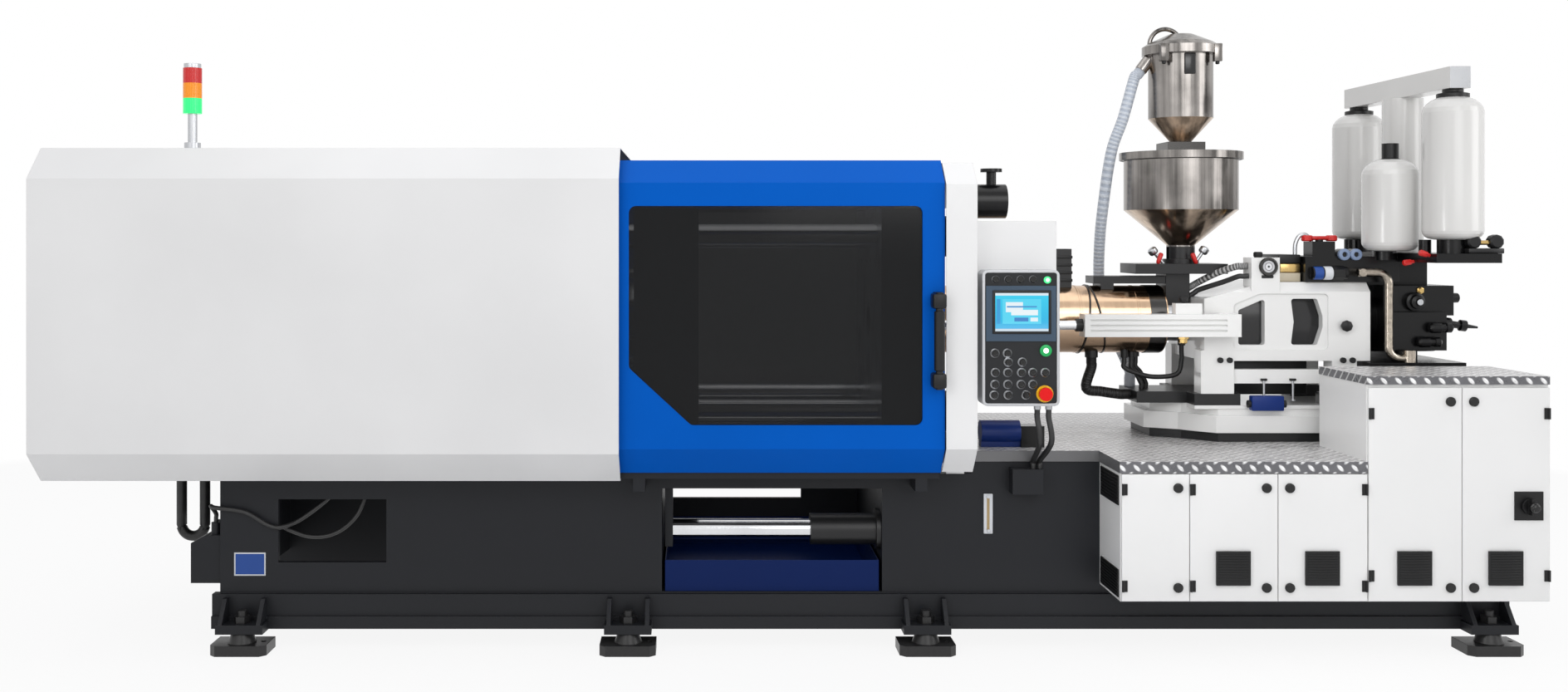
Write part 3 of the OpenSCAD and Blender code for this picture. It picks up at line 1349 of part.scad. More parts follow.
module hopper() color(chrome) translate([x_hop, 0, 0]) {
    rotate_extrude() difference() {
        polygon([[hopper_out_r, hopper_low], [hopper_r, hopper_cone_top], [hopper_r, hopper_top - hopper_rim_t],
            [hopper_r + hopper_rim, hopper_top - hopper_rim_t], [hopper_r + hopper_rim, hopper_top],
            [0, hopper_top], [0, hopper_low]]);
        polygon([[0, hopper_low - run], [hopper_out_r - 2 * hopper_wall, hopper_low - run],
            [hopper_out_r - 2 * hopper_wall, hopper_low + hopper_wall], [hopper_r - hopper_wall, hopper_cone_top + hopper_wall],
            [hopper_r - hopper_wall, hopper_top - lid_t], [0, hopper_top - lid_t]]);
    }
    rod_z(2 * neck_r, [hopper_low, hopper_low + hopper_rim], 0, 0);
}
module loader() color(chrome) translate([x_hop, 0, 0]) {
    block([-load_plate, load_plate], [-load_plate, load_plate], [hopper_top, load_cone_low]);
    rotate_extrude() polygon([[0, load_cone_low], [load_neck_r, load_cone_low], [loader_r, load_cyl_low],
        [loader_r, load_cyl_top - load_lid_t / 2], [load_lid_r, load_cyl_top - load_lid_t / 2],
        [load_lid_r, load_cyl_top + load_lid_t / 2], [loader_r, load_cyl_top + load_lid_t],
        [load_cap_r, load_cyl_top + 2 * load_lid_t], [0, load_cyl_top + 2 * load_lid_t]]);
    arch = load_cyl_top + load_pipe_h - load_pipe_off / 2;
    for (x = [0, -load_pipe_off]) rod_z(2 * load_pipe_r, [load_cyl_top, arch], x, 0);
    translate([-load_pipe_off / 2, 0, arch]) rotate([90, 0, 0]) rotate_extrude(angle = 180)
        translate([load_pipe_off / 2, 0]) circle(r = load_pipe_r);
    translate([inlet_in - loader_r, 0, inlet_z]) rotate([0, 180 + inlet_tilt, 0]) cylinder(h = inlet_len, d = inlet_d);
}
module loader_hose() color([0.7, 0.75, 0.8]) {
    y = house_y - shoe_w - loader_hose_d;
    way = [-sin(inlet_tilt), 0, -cos(inlet_tilt)];
    start = [x_hop - loader_r + inlet_in, 0, inlet_z] + (inlet_len + gap) * way;
    rim = x_hop - hopper_r - hopper_rim;
    hose([start, start + loader_hose_d * way, [rim + hopper_rim / 2, y / 12, load_cyl_low],
        [rim - 0.75 * loader_hose_d, y / 3, hopper_top], [rim - 1.2 * loader_hose_d, y, hopper_cone_top],
        [rim - 1.2 * loader_hose_d, y + inlet_d, hopper_low], [rim - loader_hose_d, y + 1.8 * inlet_d, (hopper_low + axis_z) / 2],
        [rim - 0.6 * loader_hose_d, y + 2 * inlet_d, axis_z], [box_l, y + inlet_d, shoe_top + 2.2 * inlet_len],
        [box_l + 0.7 * loader_hose_d, y, shoe_top + 0.9 * inlet_len], [box_l + 0.7 * loader_hose_d, y, shoe_top]],
        loader_hose_d, [0, 1, 0.1], 6);
}
module barrel_hoses() color(black) {
    z = shoe_top - loom_d / 2;
    a = [port_xs[0], port_ys[0], port_low];
    hose([a, a - [0, 0, port_ds[0]], [port_xs[0] - port_ds[0] / 2, port_ys[0], port_low - 3 * port_ds[0]],
        [port_xs[0] + port_ds[0], port_ys[0], z + port_ds[0] / 4], [box_l - port_ds[0], port_ys[0], z],
        [box_l, port_ys[0], z]], loom_d, [0, 1, 0], 6);
    c = [port_xs[1], port_ys[1], port_low];
    e = [bow_x, port_ys[1], bow_low];
    hose([c, c - [0, 0, 2 * bow_d], c + [2 * bow_d, 0, -3 * bow_d], [(c[0] + e[0]) / 2, c[1], port_low - 4 * bow_d],
        e - [bow_d, 0, 6 * bow_d], e - [0, 0, 3 * bow_d], e], bow_d, [0, 1, 0], 5);
    for (k = [2 : 3]) hose([[port_xs[k], port_ys[k], port_low], [port_xs[k], port_ys[k], port_low - 2 * oil_hose_d],
        [port_xs[k] + oil_hose_d, port_ys[k], shoe_top + 3 * oil_hose_d],
        [port_xs[k] + 2 * oil_hose_d, port_ys[k], shoe_top + oil_hose_d],
        [port_xs[k] + 2 * oil_hose_d, port_ys[k], shoe_top]], oil_hose_d, [0, 1, 0], 5);
}
pipe_y = -side_y - oil_pipe_d;
module elbow(p, a) translate(p) rotate([90, 0, 0]) rotate([0, 0, a]) rotate_extrude(angle = 90)
    translate([pipe_bend, 0]) circle(d = oil_pipe_d);
module oil_pipe() color(steel) {
    rod_y(oil_pipe_d, [pipe_y - oil_pipe_d / 2, -mani_y], pipe_l, pipe_z);
    rod_x(oil_pipe_d, [pipe_l - oil_pipe_d / 2, pipe_r - pipe_bend], pipe_y, pipe_z);
    elbow([pipe_r - pipe_bend, pipe_y, pipe_z - pipe_bend], 0);
    rod_z(oil_pipe_d, [pipe_low + pipe_bend, pipe_z - pipe_bend], pipe_r, pipe_y);
    elbow([pipe_r + pipe_bend, pipe_y, pipe_low + pipe_bend], 180);
    rod_x(oil_pipe_d, [pipe_r + pipe_bend, pipe_end], pipe_y, pipe_low);
    rod_z(pipe_foot_d, [plate_top, pipe_low + oil_pipe_d], pipe_end, pipe_y);
}
module bottle(x, y, z, r, h) translate([x, y, z]) rotate_extrude()
    polygon(concat([[0, 0], [r * bottle_foot_share, 0]],
        [for (a = [-60 : 20 : 0]) [r * bottle_foot_share + r * bottle_side_share * cos(a), bottle_dome / 2 + bottle_dome / 2 * sin(a)]],
        [for (a = [0 : 15 : 75]) [r * cos(a), h - bottle_dome + bottle_dome * sin(a)]], [[0, h]]));
module accumulators() color(white) {
    both() {
        bottle(acc_x, -acc_y, acc_low, bottle_r, bottle_h);
        rod_z(neck_d, [acc_top - neck_h, acc_beam_low], acc_x, -acc_y);
    }
    bottle(small_x, small_y, small_low, small_r, small_h);
    rod_z(small_valve_d, [small_low + small_h - neck_h, small_low + small_h + small_valve_h], small_x, small_y);
}
module accumulator_frame() color(white) {
    block([acc_x - acc_beam_w / 2, acc_x + acc_beam_w / 2], [-beam_y, beam_y], [acc_beam_low, acc_beam_low + acc_beam_h]);
    rod_z(acc_post_d, [cross_top, acc_beam_low], acc_x, 0);
}
module injection_cylinder() color(black) difference() {
    union() {
        rod_x(shot_d, [house_r + house_bulge, shot_r], 0, axis_z);
        block([mani_l, mani_r], [-mani_y, mani_y], [mani_low, mani_top]);
        block([house_r + house_bulge, mani_r], [-mani_y / 2, mani_y / 2], [axis_z, mani_low + run]);
        block([cross_l, cross_r], [-cross_y, cross_y], [cross_low, cross_top]);
        block([mani_l + pilot_in, mani_l + pilot_in + pilot_w], [-mani_y, -mani_y + pilot_w], [mani_top - run, mani_top + pilot_h]);
        for (x = cap_ins) rod_y(cap_d, [-mani_y, -mani_y + cap_d], mani_l + x, mani_top + cap_d / 2 - run);
        rod_x(cart_d, [mani_l + cart_in, mani_l + cart_in + cart_len], -mani_y - cart_d / 2 + run, (mani_low + mani_top) / 2 - run);
        block([side_l, side_2_r], [-side_2_y, side_2_y], [side_top - run, side_2_top]);
        block([acc_x - stalk_w / 2, acc_x + stalk_w / 2], [-stalk_w / 2, stalk_w / 2], [axis_z, cross_low + run]);
        block([side_l, side_r], [-side_y, side_y], [side_low, side_top]);
        block([side_l + stalk_w / 3, side_l + stalk_w], [-side_2_y, side_2_y], [plate_low, side_low + run]);
        block([plate_l, plate_r], [-plate_y, plate_y], [plate_low, plate_top]);
        both() {
            rod_z(foot_d, [cross_top - run, acc_low], acc_x, -acc_y);
            rod_z(valve_d, [cross_top - run, cross_top + valve_h], acc_x - valve_off, -acc_y + valve_off);
        }
        rod_z(small_foot_d, [mani_top - run, small_low], small_x, small_y + valve_d);
    }
    rod_x(piston_d + 2 * gap, [house_r, house_r + piston_in + shot_stroke + run], 0, axis_z);
}
module injection_piston() color(chrome) difference() {
    rod_x(piston_d, [x_couple + couple_t, house_r + piston_in], 0, axis_z);
    rod_x(screw_pin_d + 2 * gap, [x_couple, x_couple + couple_t + screw_pin + gap], 0, axis_z);
}
module screw() color(steel) {
    rod_x(screw_d, [x_screw, x_couple], 0, axis_z);
    rod_x(couple_d, [x_couple, x_couple + couple_t], 0, axis_z);
    rod_x(screw_pin_d, [x_couple, x_couple + couple_t + screw_pin], 0, axis_z);
    for (k = [0 : couple_bolt_count - 1]) translate([0, 0, axis_z]) rotate([k * 360 / couple_bolt_count, 0, 0])
        rod_x(couple_bolt_d, [x_couple - couple_bolt_out, x_couple], 0, couple_d * couple_bolt_share);
}

// Hydraulics beside the fixed platen and on the deck
module deck_hydraulics() color(black) {
    rod_x(valve_bar_d, [x_post_r, valve_bar_r], valve_bar_y, valve_bar_z);
    rod_z(valve_neck, [valve_bar_z, wheel_z], x_post_r + tie_end, valve_bar_y);
    rod_z(wheel_d, [wheel_z, wheel_z + wheel_t], x_post_r + tie_end, valve_bar_y);
    block([pump_l, pump_l + pump_len], [pump_y - pump_foot, pump_y + pump_foot], [deck_z, deck_z + pump_d / 2]);
    rod_x(pump_d, [pump_l, pump_l + pump_len], pump_y, deck_z + pump_foot / 2 + pump_d / 2);
    block([pump_l + pump_len, pump_l + pump_len + pump_head_len], [pump_y - pump_head / 2, pump_y + pump_head / 2],
        [deck_z, deck_z + pump_head]);
}
module base_hoses() color(black) {
    l = cyl_port_xs[0];
    r = cyl_port_xs[1];
    bend = loop_low + (r - l) / 2;
    for (x = [l, r]) rod_z(hose_d, [bend, cyl_port_low], x, 0);
    translate([(l + r) / 2, 0, bend]) rotate([-90, 0, 0]) rotate_extrude(angle = 180)
        translate([(r - l) / 2, 0]) circle(d = hose_d);
    x = base_l - lube_port_in;
    y = lube_y + lube_port_in;
    z = lube_top + lube_rise + lube_port;
    f = -base_y - thin_d;
    hose([[x, y, z], [x, y, z + 2 * thin_d], [x - thin_d / 2, (y + f) / 2, z + 4 * thin_d], [x + thin_d, f, z + 4 * thin_d],
        [base_l + 6 * thin_d, f, z + 3 * thin_d], [win_l - 2 * thin_d, f, z], [win_l + thin_d, f + thin_d / 2, z - thin_d / 2],
        [win_l + 5 * thin_d, -base_y + wall + thin_d, z + thin_d], [win_l + 11 * thin_d, -base_y + 2 * wall + thin_d, win_top],
        [win_l + 11 * thin_d, -base_y + 2 * wall + thin_d, base_h - wall]], thin_d, [0, 1, 0], 6);
}

base_frame();
levelling_feet();
deck_plates();
drip_tray();
lubrication_unit();
tie_bars();
tie_bar_nuts();
rear_platen();
fixed_platen();
clamp_cylinder();
traverse_cylinder();
clamp_cover_front();
clamp_cover_rear();
gate_rails();
guard_post();
signal_tower();
tower_lenses();
panel_column();
panel_housing();
panel_face();
panel_screen();
panel_cables();
base_hoses();
injection_base();
carriage_rods();
cabinet();
deck_hydraulics();
front_gate();
front_window();
front_handle();
rear_gate();
rear_window();
moving_platen();
clamp_ram();
traverse_rod();
ejector();
injection_housing();
carriage_saddle();
barrel();
barrel_cover();
carriage_cylinders();
hopper();
hopper_base();
loader();
loader_hose();
barrel_hoses();
oil_pipe();
accumulators();
accumulator_frame();
injection_cylinder();
injection_piston();
screw();
door_1();
door_2();
door_3();
door_4();
door_5();
main_switch();
e_stop();
start_button();
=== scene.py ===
import math

import bpy
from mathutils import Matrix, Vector


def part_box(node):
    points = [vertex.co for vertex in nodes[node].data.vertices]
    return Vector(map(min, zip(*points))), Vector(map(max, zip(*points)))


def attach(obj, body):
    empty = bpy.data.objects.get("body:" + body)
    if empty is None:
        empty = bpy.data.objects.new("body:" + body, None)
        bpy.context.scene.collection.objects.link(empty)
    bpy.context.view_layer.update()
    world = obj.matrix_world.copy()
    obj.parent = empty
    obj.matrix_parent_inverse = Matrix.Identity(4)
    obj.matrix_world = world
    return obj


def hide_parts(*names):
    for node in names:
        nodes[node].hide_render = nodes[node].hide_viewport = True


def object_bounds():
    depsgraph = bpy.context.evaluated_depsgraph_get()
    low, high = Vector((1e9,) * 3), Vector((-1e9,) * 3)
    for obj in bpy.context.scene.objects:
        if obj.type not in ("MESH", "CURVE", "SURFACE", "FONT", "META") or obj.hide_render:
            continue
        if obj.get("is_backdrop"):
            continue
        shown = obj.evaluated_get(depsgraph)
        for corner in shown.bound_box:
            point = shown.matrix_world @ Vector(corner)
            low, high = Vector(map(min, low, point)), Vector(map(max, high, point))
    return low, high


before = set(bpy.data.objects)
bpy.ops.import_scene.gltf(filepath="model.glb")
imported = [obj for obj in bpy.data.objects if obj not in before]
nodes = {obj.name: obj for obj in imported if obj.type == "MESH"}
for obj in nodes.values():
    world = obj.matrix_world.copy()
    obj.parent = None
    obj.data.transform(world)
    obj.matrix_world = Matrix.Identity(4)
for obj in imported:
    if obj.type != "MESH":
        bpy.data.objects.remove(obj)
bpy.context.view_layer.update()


# Studio: a pale floor that fades into a white backdrop, soft boxes in front, above and at the sides, and the
# photograph's camera: level, square to the machine's front, its centre of view shifted right and down.
def add(tree, kind, inputs=None, **props):
    made = tree.nodes.new("ShaderNode" + kind)
    for key, value in props.items():
        setattr(made, key, value)
    for key, value in (inputs or {}).items():
        if isinstance(value, bpy.types.NodeSocket):
            tree.links.new(value, made.inputs[key])
        else:
            made.inputs[key].default_value = value
    return made


def reckon(tree, operation, first, second=0.5):
    return add(tree, "Math", {0: first, 1: second}, operation=operation).outputs[0]


def rescale(tree, value, low, high, to_low=0.0, to_high=1.0):
    ends = {"From Min": low, "From Max": high, "To Min": to_low, "To Max": to_high}
    return add(tree, "MapRange", {"Value": value, **ends}).outputs[0]


def noise(tree, spot, scale, detail, rough=0.5):
    return add(tree, "TexNoise", {"Vector": spot, "Scale": scale, "Detail": detail, "Roughness": rough}).outputs["Fac"]


def blend(tree, value, first, last):
    ramp = add(tree, "ValToRGB", {"Fac": value})
    for stop, hue in zip(ramp.color_ramp.elements, (first, last)):
        stop.color = hue
    return ramp


photo_width, view_right, view_down = 1888, 104, 131.5
camera = bpy.data.cameras.new("camera")
camera.lens, camera.sensor_width = 34.32, 36
camera.shift_x, camera.shift_y = view_right / photo_width, -view_down / photo_width
camera_object = bpy.data.objects.new("camera", camera)
camera_object.location = (-0.436, -8.2, 2.08)
camera_object.rotation_euler = (math.pi / 2, 0, 0)
bpy.context.collection.objects.link(camera_object)
scene = bpy.context.scene
scene.camera = camera_object
scene.view_settings.view_transform = "Standard"

scene.world = bpy.data.worlds.new("studio")
scene.world.use_nodes = True
sky = scene.world.node_tree
rise = add(sky, "SeparateXYZ", {"Vector": add(sky, "TexCoord").outputs["Generated"]}).outputs["Z"]
ramp = blend(sky, rescale(sky, rise, -1, 1), (0.5, 0.49, 0.48, 1), (0.95, 0.96, 1.0, 1))
stops = ramp.color_ramp.elements
stops[0].position, stops[1].position = 0.3, 0.95
stops.new(0.55).color = (0.3, 0.29, 0.28, 1)
soft = add(sky, "Background", {"Color": ramp.outputs["Color"], "Strength": 0.8})
white = add(sky, "Background", {"Color": (1, 1, 1, 1), "Strength": 1.0})


def direct_view(tree):
    rays = add(tree, "LightPath").outputs
    shiny = reckon(tree, "MAXIMUM", rays["Is Glossy Ray"], rays["Is Transmission Ray"])
    return reckon(tree, "MAXIMUM", rays["Is Camera Ray"], shiny)


both_ways = add(sky, "MixShader", {"Fac": direct_view(sky), 1: soft.outputs[0], 2: white.outputs[0]})
sky.links.new(both_ways.outputs[0], sky.nodes["World Output"].inputs["Surface"])

for name, place, aim, size, power, spread in (
    ("key", (-4.5, -7.5, 5.5), (-1.0, 0, 1.4), (5.0, 3.5), 115, 180),
    ("front", (2.5, -8.5, 4.0), (1.8, 0, 1.4), (4.5, 3.5), 100, 180),
    ("roof", (0.0, -0.5, 6.5), (0.0, 0, 0.0), (9.0, 3.5), 80, 180),
    ("side", (8.0, -3.0, 3.5), (2.5, 0, 1.5), (3.0, 3.0), 80, 180),
    ("deck", (2.3, -3.6, 3.8), (2.2, -0.4, 1.1), (2.4, 1.2), 18, 180),
    ("left", (-0.6, -3.0, 1.9), (2.7, -0.7, 1.0), (0.8, 0.8), 1.7, 44),
):
    lamp = bpy.data.lights.new(name, "AREA")
    lamp.shape, lamp.size, lamp.size_y, lamp.energy = "RECTANGLE", size[0], size[1], power
    lamp.spread = math.radians(spread)
    lamp_object = bpy.data.objects.new(name, lamp)
    lamp_object.location = place
    reach = [a - b for a, b in zip(aim, place)]
    flat = math.hypot(reach[0], reach[1])
    lamp_object.rotation_euler = (math.atan2(flat, -reach[2]), 0, math.atan2(-reach[0], reach[1]))
    bpy.context.collection.objects.link(lamp_object)

floor_radius, fade_start, fade_end, view_lift = 40, 5.0, 9.0, 0.9
bpy.ops.object.select_all(action="DESELECT")
bpy.ops.mesh.primitive_circle_add(vertices=96, radius=floor_radius, fill_type="NGON")
floor = bpy.context.object
floor.name = "floor"
paper = bpy.data.materials.new("floor_paper")
paper.use_nodes = True
tree = paper.node_tree
surface = tree.nodes["Principled BSDF"]
place = add(tree, "TexCoord").outputs["Object"]
away = add(tree, "VectorMath", {0: place}, operation="LENGTH").outputs["Value"]
shell = add(tree, "Emission", {"Color": (1, 1, 1, 1), "Strength": 1.0})
surface.inputs["Roughness"].default_value = 0.8
tint = blend(tree, noise(tree, place, 0.6, 3), (0.86, 0.86, 0.86, 1), (0.92, 0.92, 0.92, 1))
tree.links.new(tint.outputs[0], surface.inputs["Base Color"])
straight = reckon(tree, "MULTIPLY", direct_view(tree), view_lift)
lift = reckon(tree, "MAXIMUM", rescale(tree, away, fade_start, fade_end), straight)
fade = add(tree, "MixShader", {"Fac": lift, 1: surface.outputs[0], 2: shell.outputs[0]})
tree.links.new(fade.outputs[0], tree.nodes["Material Output"].inputs["Surface"])
floor.data.materials.append(paper)
floor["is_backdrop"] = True


# Base: a welded box of thick plate in satin charcoal paint, with a rail along its foot, brackets and gussets.
# Paint is sprayed, so it has a fine peel, slightly lighter worn edges and a little dust near the floor.
def material(name, group=None, values=None, **shader):
    made = bpy.data.materials.new(name)
    made.use_nodes = True
    tree = made.node_tree
    surface = tree.nodes["Principled BSDF"]
    for key, value in shader.items():
        surface.inputs[key.replace("_", " ")].default_value = value
    if group:
        placed = tree.nodes.new("ShaderNodeGroup")
        placed.node_tree = group
        for key, value in values.items():
            placed.inputs[key].default_value = value
        for output in placed.outputs:
            tree.links.new(output, surface.inputs[output.name])
    return made


def new_group(name, inputs):
    made = bpy.data.node_groups.new(name, "ShaderNodeTree")
    for label, kind, value in inputs:
        socket = made.interface.new_socket(label, in_out="INPUT", socket_type="NodeSocket" + kind)
        socket.default_value = value
    for label, kind in (("Base Color", "Color"), ("Roughness", "Float"), ("Normal", "Vector")):
        made.interface.new_socket(label, in_out="OUTPUT", socket_type="NodeSocket" + kind)
    return made, made.nodes.new("NodeGroupInput").outputs


def end_group(made, colour, rough, normal):
    result = made.nodes.new("NodeGroupOutput").inputs
    for label, value in (("Base Color", colour), ("Roughness", rough), ("Normal", normal)):
        made.links.new(value, result[label])


def mix(tree, factor, first, second):
    return add(tree, "Mix", {"Factor": factor, "A": first, "B": second}, data_type="RGBA").outputs["Result"]


def tone(tree, colour, value, saturation=1.0):
    return add(tree, "HueSaturation", {"Color": colour, "Value": value, "Saturation": saturation}).outputs[0]


def part_of(tree, spot, axis):
    return add(tree, "SeparateXYZ", {"Vector": spot}).outputs[axis]


dust_height, dust = 0.45, (0.2, 0.19, 0.175, 1)
coat, given = new_group("sprayed_paint", [
    ("Color", "Color", (1, 1, 1, 1)), ("Roughness", "Float", 0.4), ("Peel", "Float", 0.1), ("Edge", "Float", 0.3),
    ("Soil", "Float", 0.0)])
spot = add(coat, "TexCoord").outputs["Object"]
speck = noise(coat, spot, 55, 5, 0.65)
round_edge = add(coat, "Bevel", {"Radius": 0.004}, samples=4).outputs["Normal"]
flat_face = add(coat, "NewGeometry").outputs["Normal"]
bent = add(coat, "VectorMath", {0: round_edge, 1: flat_face}, operation="DOT_PRODUCT").outputs["Value"]
rim = reckon(coat, "MULTIPLY", rescale(coat, bent, 0.995, 0.8), rescale(coat, speck, 0.4, 0.65))
rim = reckon(coat, "MULTIPLY", rim, given["Edge"])
fresh = tone(coat, given["Color"], rescale(coat, noise(coat, spot, 0.9, 3), 0.3, 0.7, 0.95, 1.04))
colour = mix(coat, rim, fresh, tone(coat, fresh, 1.6, 0.8))
soiled = reckon(coat, "MULTIPLY", rescale(coat, part_of(coat, spot, "Z"), dust_height, 0.0), speck)
colour = mix(coat, reckon(coat, "MULTIPLY", soiled, given["Soil"]), colour, dust)
rough = reckon(coat, "ADD", given["Roughness"], rescale(coat, speck, 0, 1, -0.07, 0.07))
skin = add(coat, "Bump", {"Strength": given["Peel"], "Distance": 0.0008, "Height": noise(coat, spot, 380, 1),
                          "Normal": round_edge}).outputs["Normal"]
end_group(coat, colour, rough, skin)


def paint(name, colour, rough, peel=0.0, edge=0.0, soil=0.0, **shader):
    values = {"Color": (*colour, 1), "Roughness": rough, "Peel": peel, "Edge": edge, "Soil": soil}
    return material(name, coat, values, **shader)


def dress(names, *finishes):
    for name in names.split():
        mesh = nodes[name].data
        mesh.materials.clear()
        for finish in finishes:
            mesh.materials.append(finish)
        for face in mesh.polygons:
            face.material_index = 0


def recolour(name, index, test):
    for face in nodes[name].data.polygons:
        if test(*face.center, face.normal):
            face.material_index = index


charcoal = paint("charcoal_paint", (0.0125, 0.0135, 0.0165), rough=0.46, peel=0.12, edge=0.5, soil=0.04,
                 Specular_IOR_Level=0.25)
dress("base_frame lubrication_unit", charcoal)
black_paint = paint("black_paint", (0.012, 0.012, 0.013), rough=0.34, peel=0.1, edge=0.35, soil=0.1,
                    Specular_IOR_Level=0.4)
dress("levelling_feet", black_paint)
navy = paint("navy_paint", (0.001, 0.014, 0.095), rough=0.45, peel=0.12, edge=0.3, Specular_IOR_Level=0.15)
dress("drip_tray", navy)


def pick(made):
    bpy.ops.object.select_all(action="DESELECT")
    made.select_set(True)
    bpy.context.view_layer.objects.active = made


def edit_all():
    bpy.ops.object.mode_set(mode="EDIT")
    bpy.ops.mesh.select_all(action="SELECT")


def settle(made, name, coats, body):
    made.name = name
    bpy.ops.object.transform_apply(location=True, rotation=True, scale=True)
    bpy.ops.object.shade_smooth_by_angle(angle=math.radians(40))
    for finish in coats:
        made.data.materials.append(finish)
    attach(made, body)
    return made


def block(name, low, high, coats, body, edge):
    bpy.ops.object.select_all(action="DESELECT")
    bpy.ops.mesh.primitive_cube_add(size=1, location=[(a + b) / 2 for a, b in zip(low, high)])
    made = bpy.context.object
    made.scale = [b - a for a, b in zip(low, high)]
    bpy.ops.object.transform_apply(location=True, rotation=True, scale=True)
    edit_all()
    bpy.ops.mesh.bevel(offset=edge, segments=2, affect="EDGES")
    bpy.ops.object.mode_set(mode="OBJECT")
    return settle(made, name, coats, body)


def sink_face(made, way, rim, depth, index):
    pick(made)
    bpy.ops.object.mode_set(mode="EDIT")
    bpy.ops.mesh.select_mode(type="FACE")
    bpy.ops.mesh.select_all(action="DESELECT")
    bpy.ops.object.mode_set(mode="OBJECT")
    max((f for f in made.data.polygons if f.normal.dot(way) > 0.99), key=lambda f: f.area).select = True
    bpy.ops.object.mode_set(mode="EDIT")
    bpy.ops.mesh.inset(thickness=rim, depth=-depth)
    bpy.ops.object.mode_set(mode="OBJECT")
    for face in made.data.polygons:
        if face.select:
            face.material_index = index


def turned(name, foot, way, profile, coats, body, sides=32):
    bpy.ops.object.select_all(action="DESELECT")
    bpy.ops.mesh.primitive_circle_add(vertices=sides, radius=profile[0][1], fill_type="NGON")
    made = bpy.context.object
    bpy.ops.object.mode_set(mode="EDIT")
    bpy.ops.mesh.select_mode(type="FACE")
    bpy.ops.mesh.select_all(action="SELECT")
    for (low, wide), (high, wider) in zip(profile, profile[1:]):
        bpy.ops.mesh.extrude_region_move(TRANSFORM_OT_translate={"value": (0, 0, high - low)})
        bpy.ops.transform.resize(value=(wider / wide, wider / wide, 1), center_override=(0, 0, high))
    bpy.ops.object.mode_set(mode="OBJECT")
    for face in made.data.polygons:
        face.material_index = len(coats) - 1 if face.select else 0
    edit_all()
    bpy.ops.mesh.normals_make_consistent(inside=False)
    bpy.ops.object.mode_set(mode="OBJECT")
    made.rotation_euler = Vector(way).to_track_quat("Z", "Y").to_euler()
    made.location = foot
    return settle(made, name, coats, body)


# On the front: a bare blue plate in a pale rim, and an oil level glass in a bright frame between two plugs
frontward, rightward, upward = Vector((0, -1, 0)), Vector((1, 0, 0)), Vector((0, 0, 1))
downward = -upward
base_front, glass_x, glass_front = -0.614, 1.0369, -0.626
rim_white = paint("plate_rim", (0.7, 0.72, 0.75), rough=0.4, peel=0.05)
plate_blue = paint("plate_blue", (0.006, 0.06, 0.3), rough=0.4, peel=0.05)
blank = block("bare_plate", (-2.7876, base_front - 0.003, 0.3605), (-2.6275, base_front, 0.4785),
              [rim_white, plate_blue], "frame", edge=0.001)
sink_face(blank, frontward, rim=0.006, depth=0.0005, index=1)
oil_glass = paint("oil_glass", (0.42, 0.3, 0.14), rough=0.1)
level = block("oil_level_frame", (glass_x - 0.0231, glass_front, 0.5754), (glass_x + 0.0231, base_front, 0.7777),
              [rim_white, oil_glass], "frame", edge=0.003)
sink_face(level, frontward, rim=0.013, depth=0.004, index=1)
for k, z in enumerate((0.59, 0.763)):
    turned(f"oil_level_plug_{k + 1}", (glass_x, glass_front, z), frontward,
           [(0, 0.009), (0.005, 0.009), (0.007, 0.006)], [rim_white], "frame", sides=6)


# Deck: bright tear plate with raised bars that alternate in direction, folded down over its front edges.
# The bars are rolled into the aluminium, so they are part of the plate; their tops are painted lighter than the ground
# between them, a painted highlight together with some polish from shoes.
bar_length, bar_width, bar_top = 2.0, 4.6, 0.55
tear, given = new_group("tear_plate", [
    ("Pitch", "Float", 0.046), ("Color", "Color", (0.6, 0.6, 0.6, 1)), ("Ground", "Color", (0.3, 0.3, 0.3, 1))])
place = add(tear, "TexCoord").outputs["Object"]
spot = add(tear, "SeparateXYZ", {"Vector": place}).outputs
fold = reckon(tear, "ADD", spot["Y"], spot["Z"])
cells = []
for sign in ("ADD", "SUBTRACT"):
    slant = reckon(tear, "DIVIDE", reckon(tear, sign, spot["X"], fold), given["Pitch"])
    cells.append((reckon(tear, "FLOOR", slant), reckon(tear, "SUBTRACT", reckon(tear, "FRACT", slant), 0.5)))
parity = reckon(tear, "FLOORED_MODULO", reckon(tear, "ADD", cells[0][0], cells[1][0]), 2)
bars = []
for long, short in ((0, 1), (1, 0)):
    from_middle = add(tear, "CombineXYZ", {"X": reckon(tear, "MULTIPLY", cells[long][1], bar_length),
                                           "Y": reckon(tear, "MULTIPLY", cells[short][1], bar_width)}).outputs[0]
    away = add(tear, "VectorMath", {0: from_middle}, operation="LENGTH").outputs["Value"]
    bars.append(rescale(tear, away, 1.0, bar_top))
raised = add(tear, "Mix", {"Factor": parity, "A": bars[0], "B": bars[1]}).outputs["Result"]
grime = noise(tear, place, 9, 6, 0.7)
# Bars take Color and the ground between them Ground: the lighter bar tops are a painted highlight, partly polish
colour = tone(tear, mix(tear, raised, given["Ground"], given["Color"]), rescale(tear, grime, 0.3, 0.7, 0.8, 1.1))
tread = add(tear, "Bump", {"Strength": 1.0, "Distance": 0.0025, "Height": raised}).outputs["Normal"]
end_group(tear, colour, rescale(tear, grime, 0.3, 0.7, 0.2, 0.42), tread)

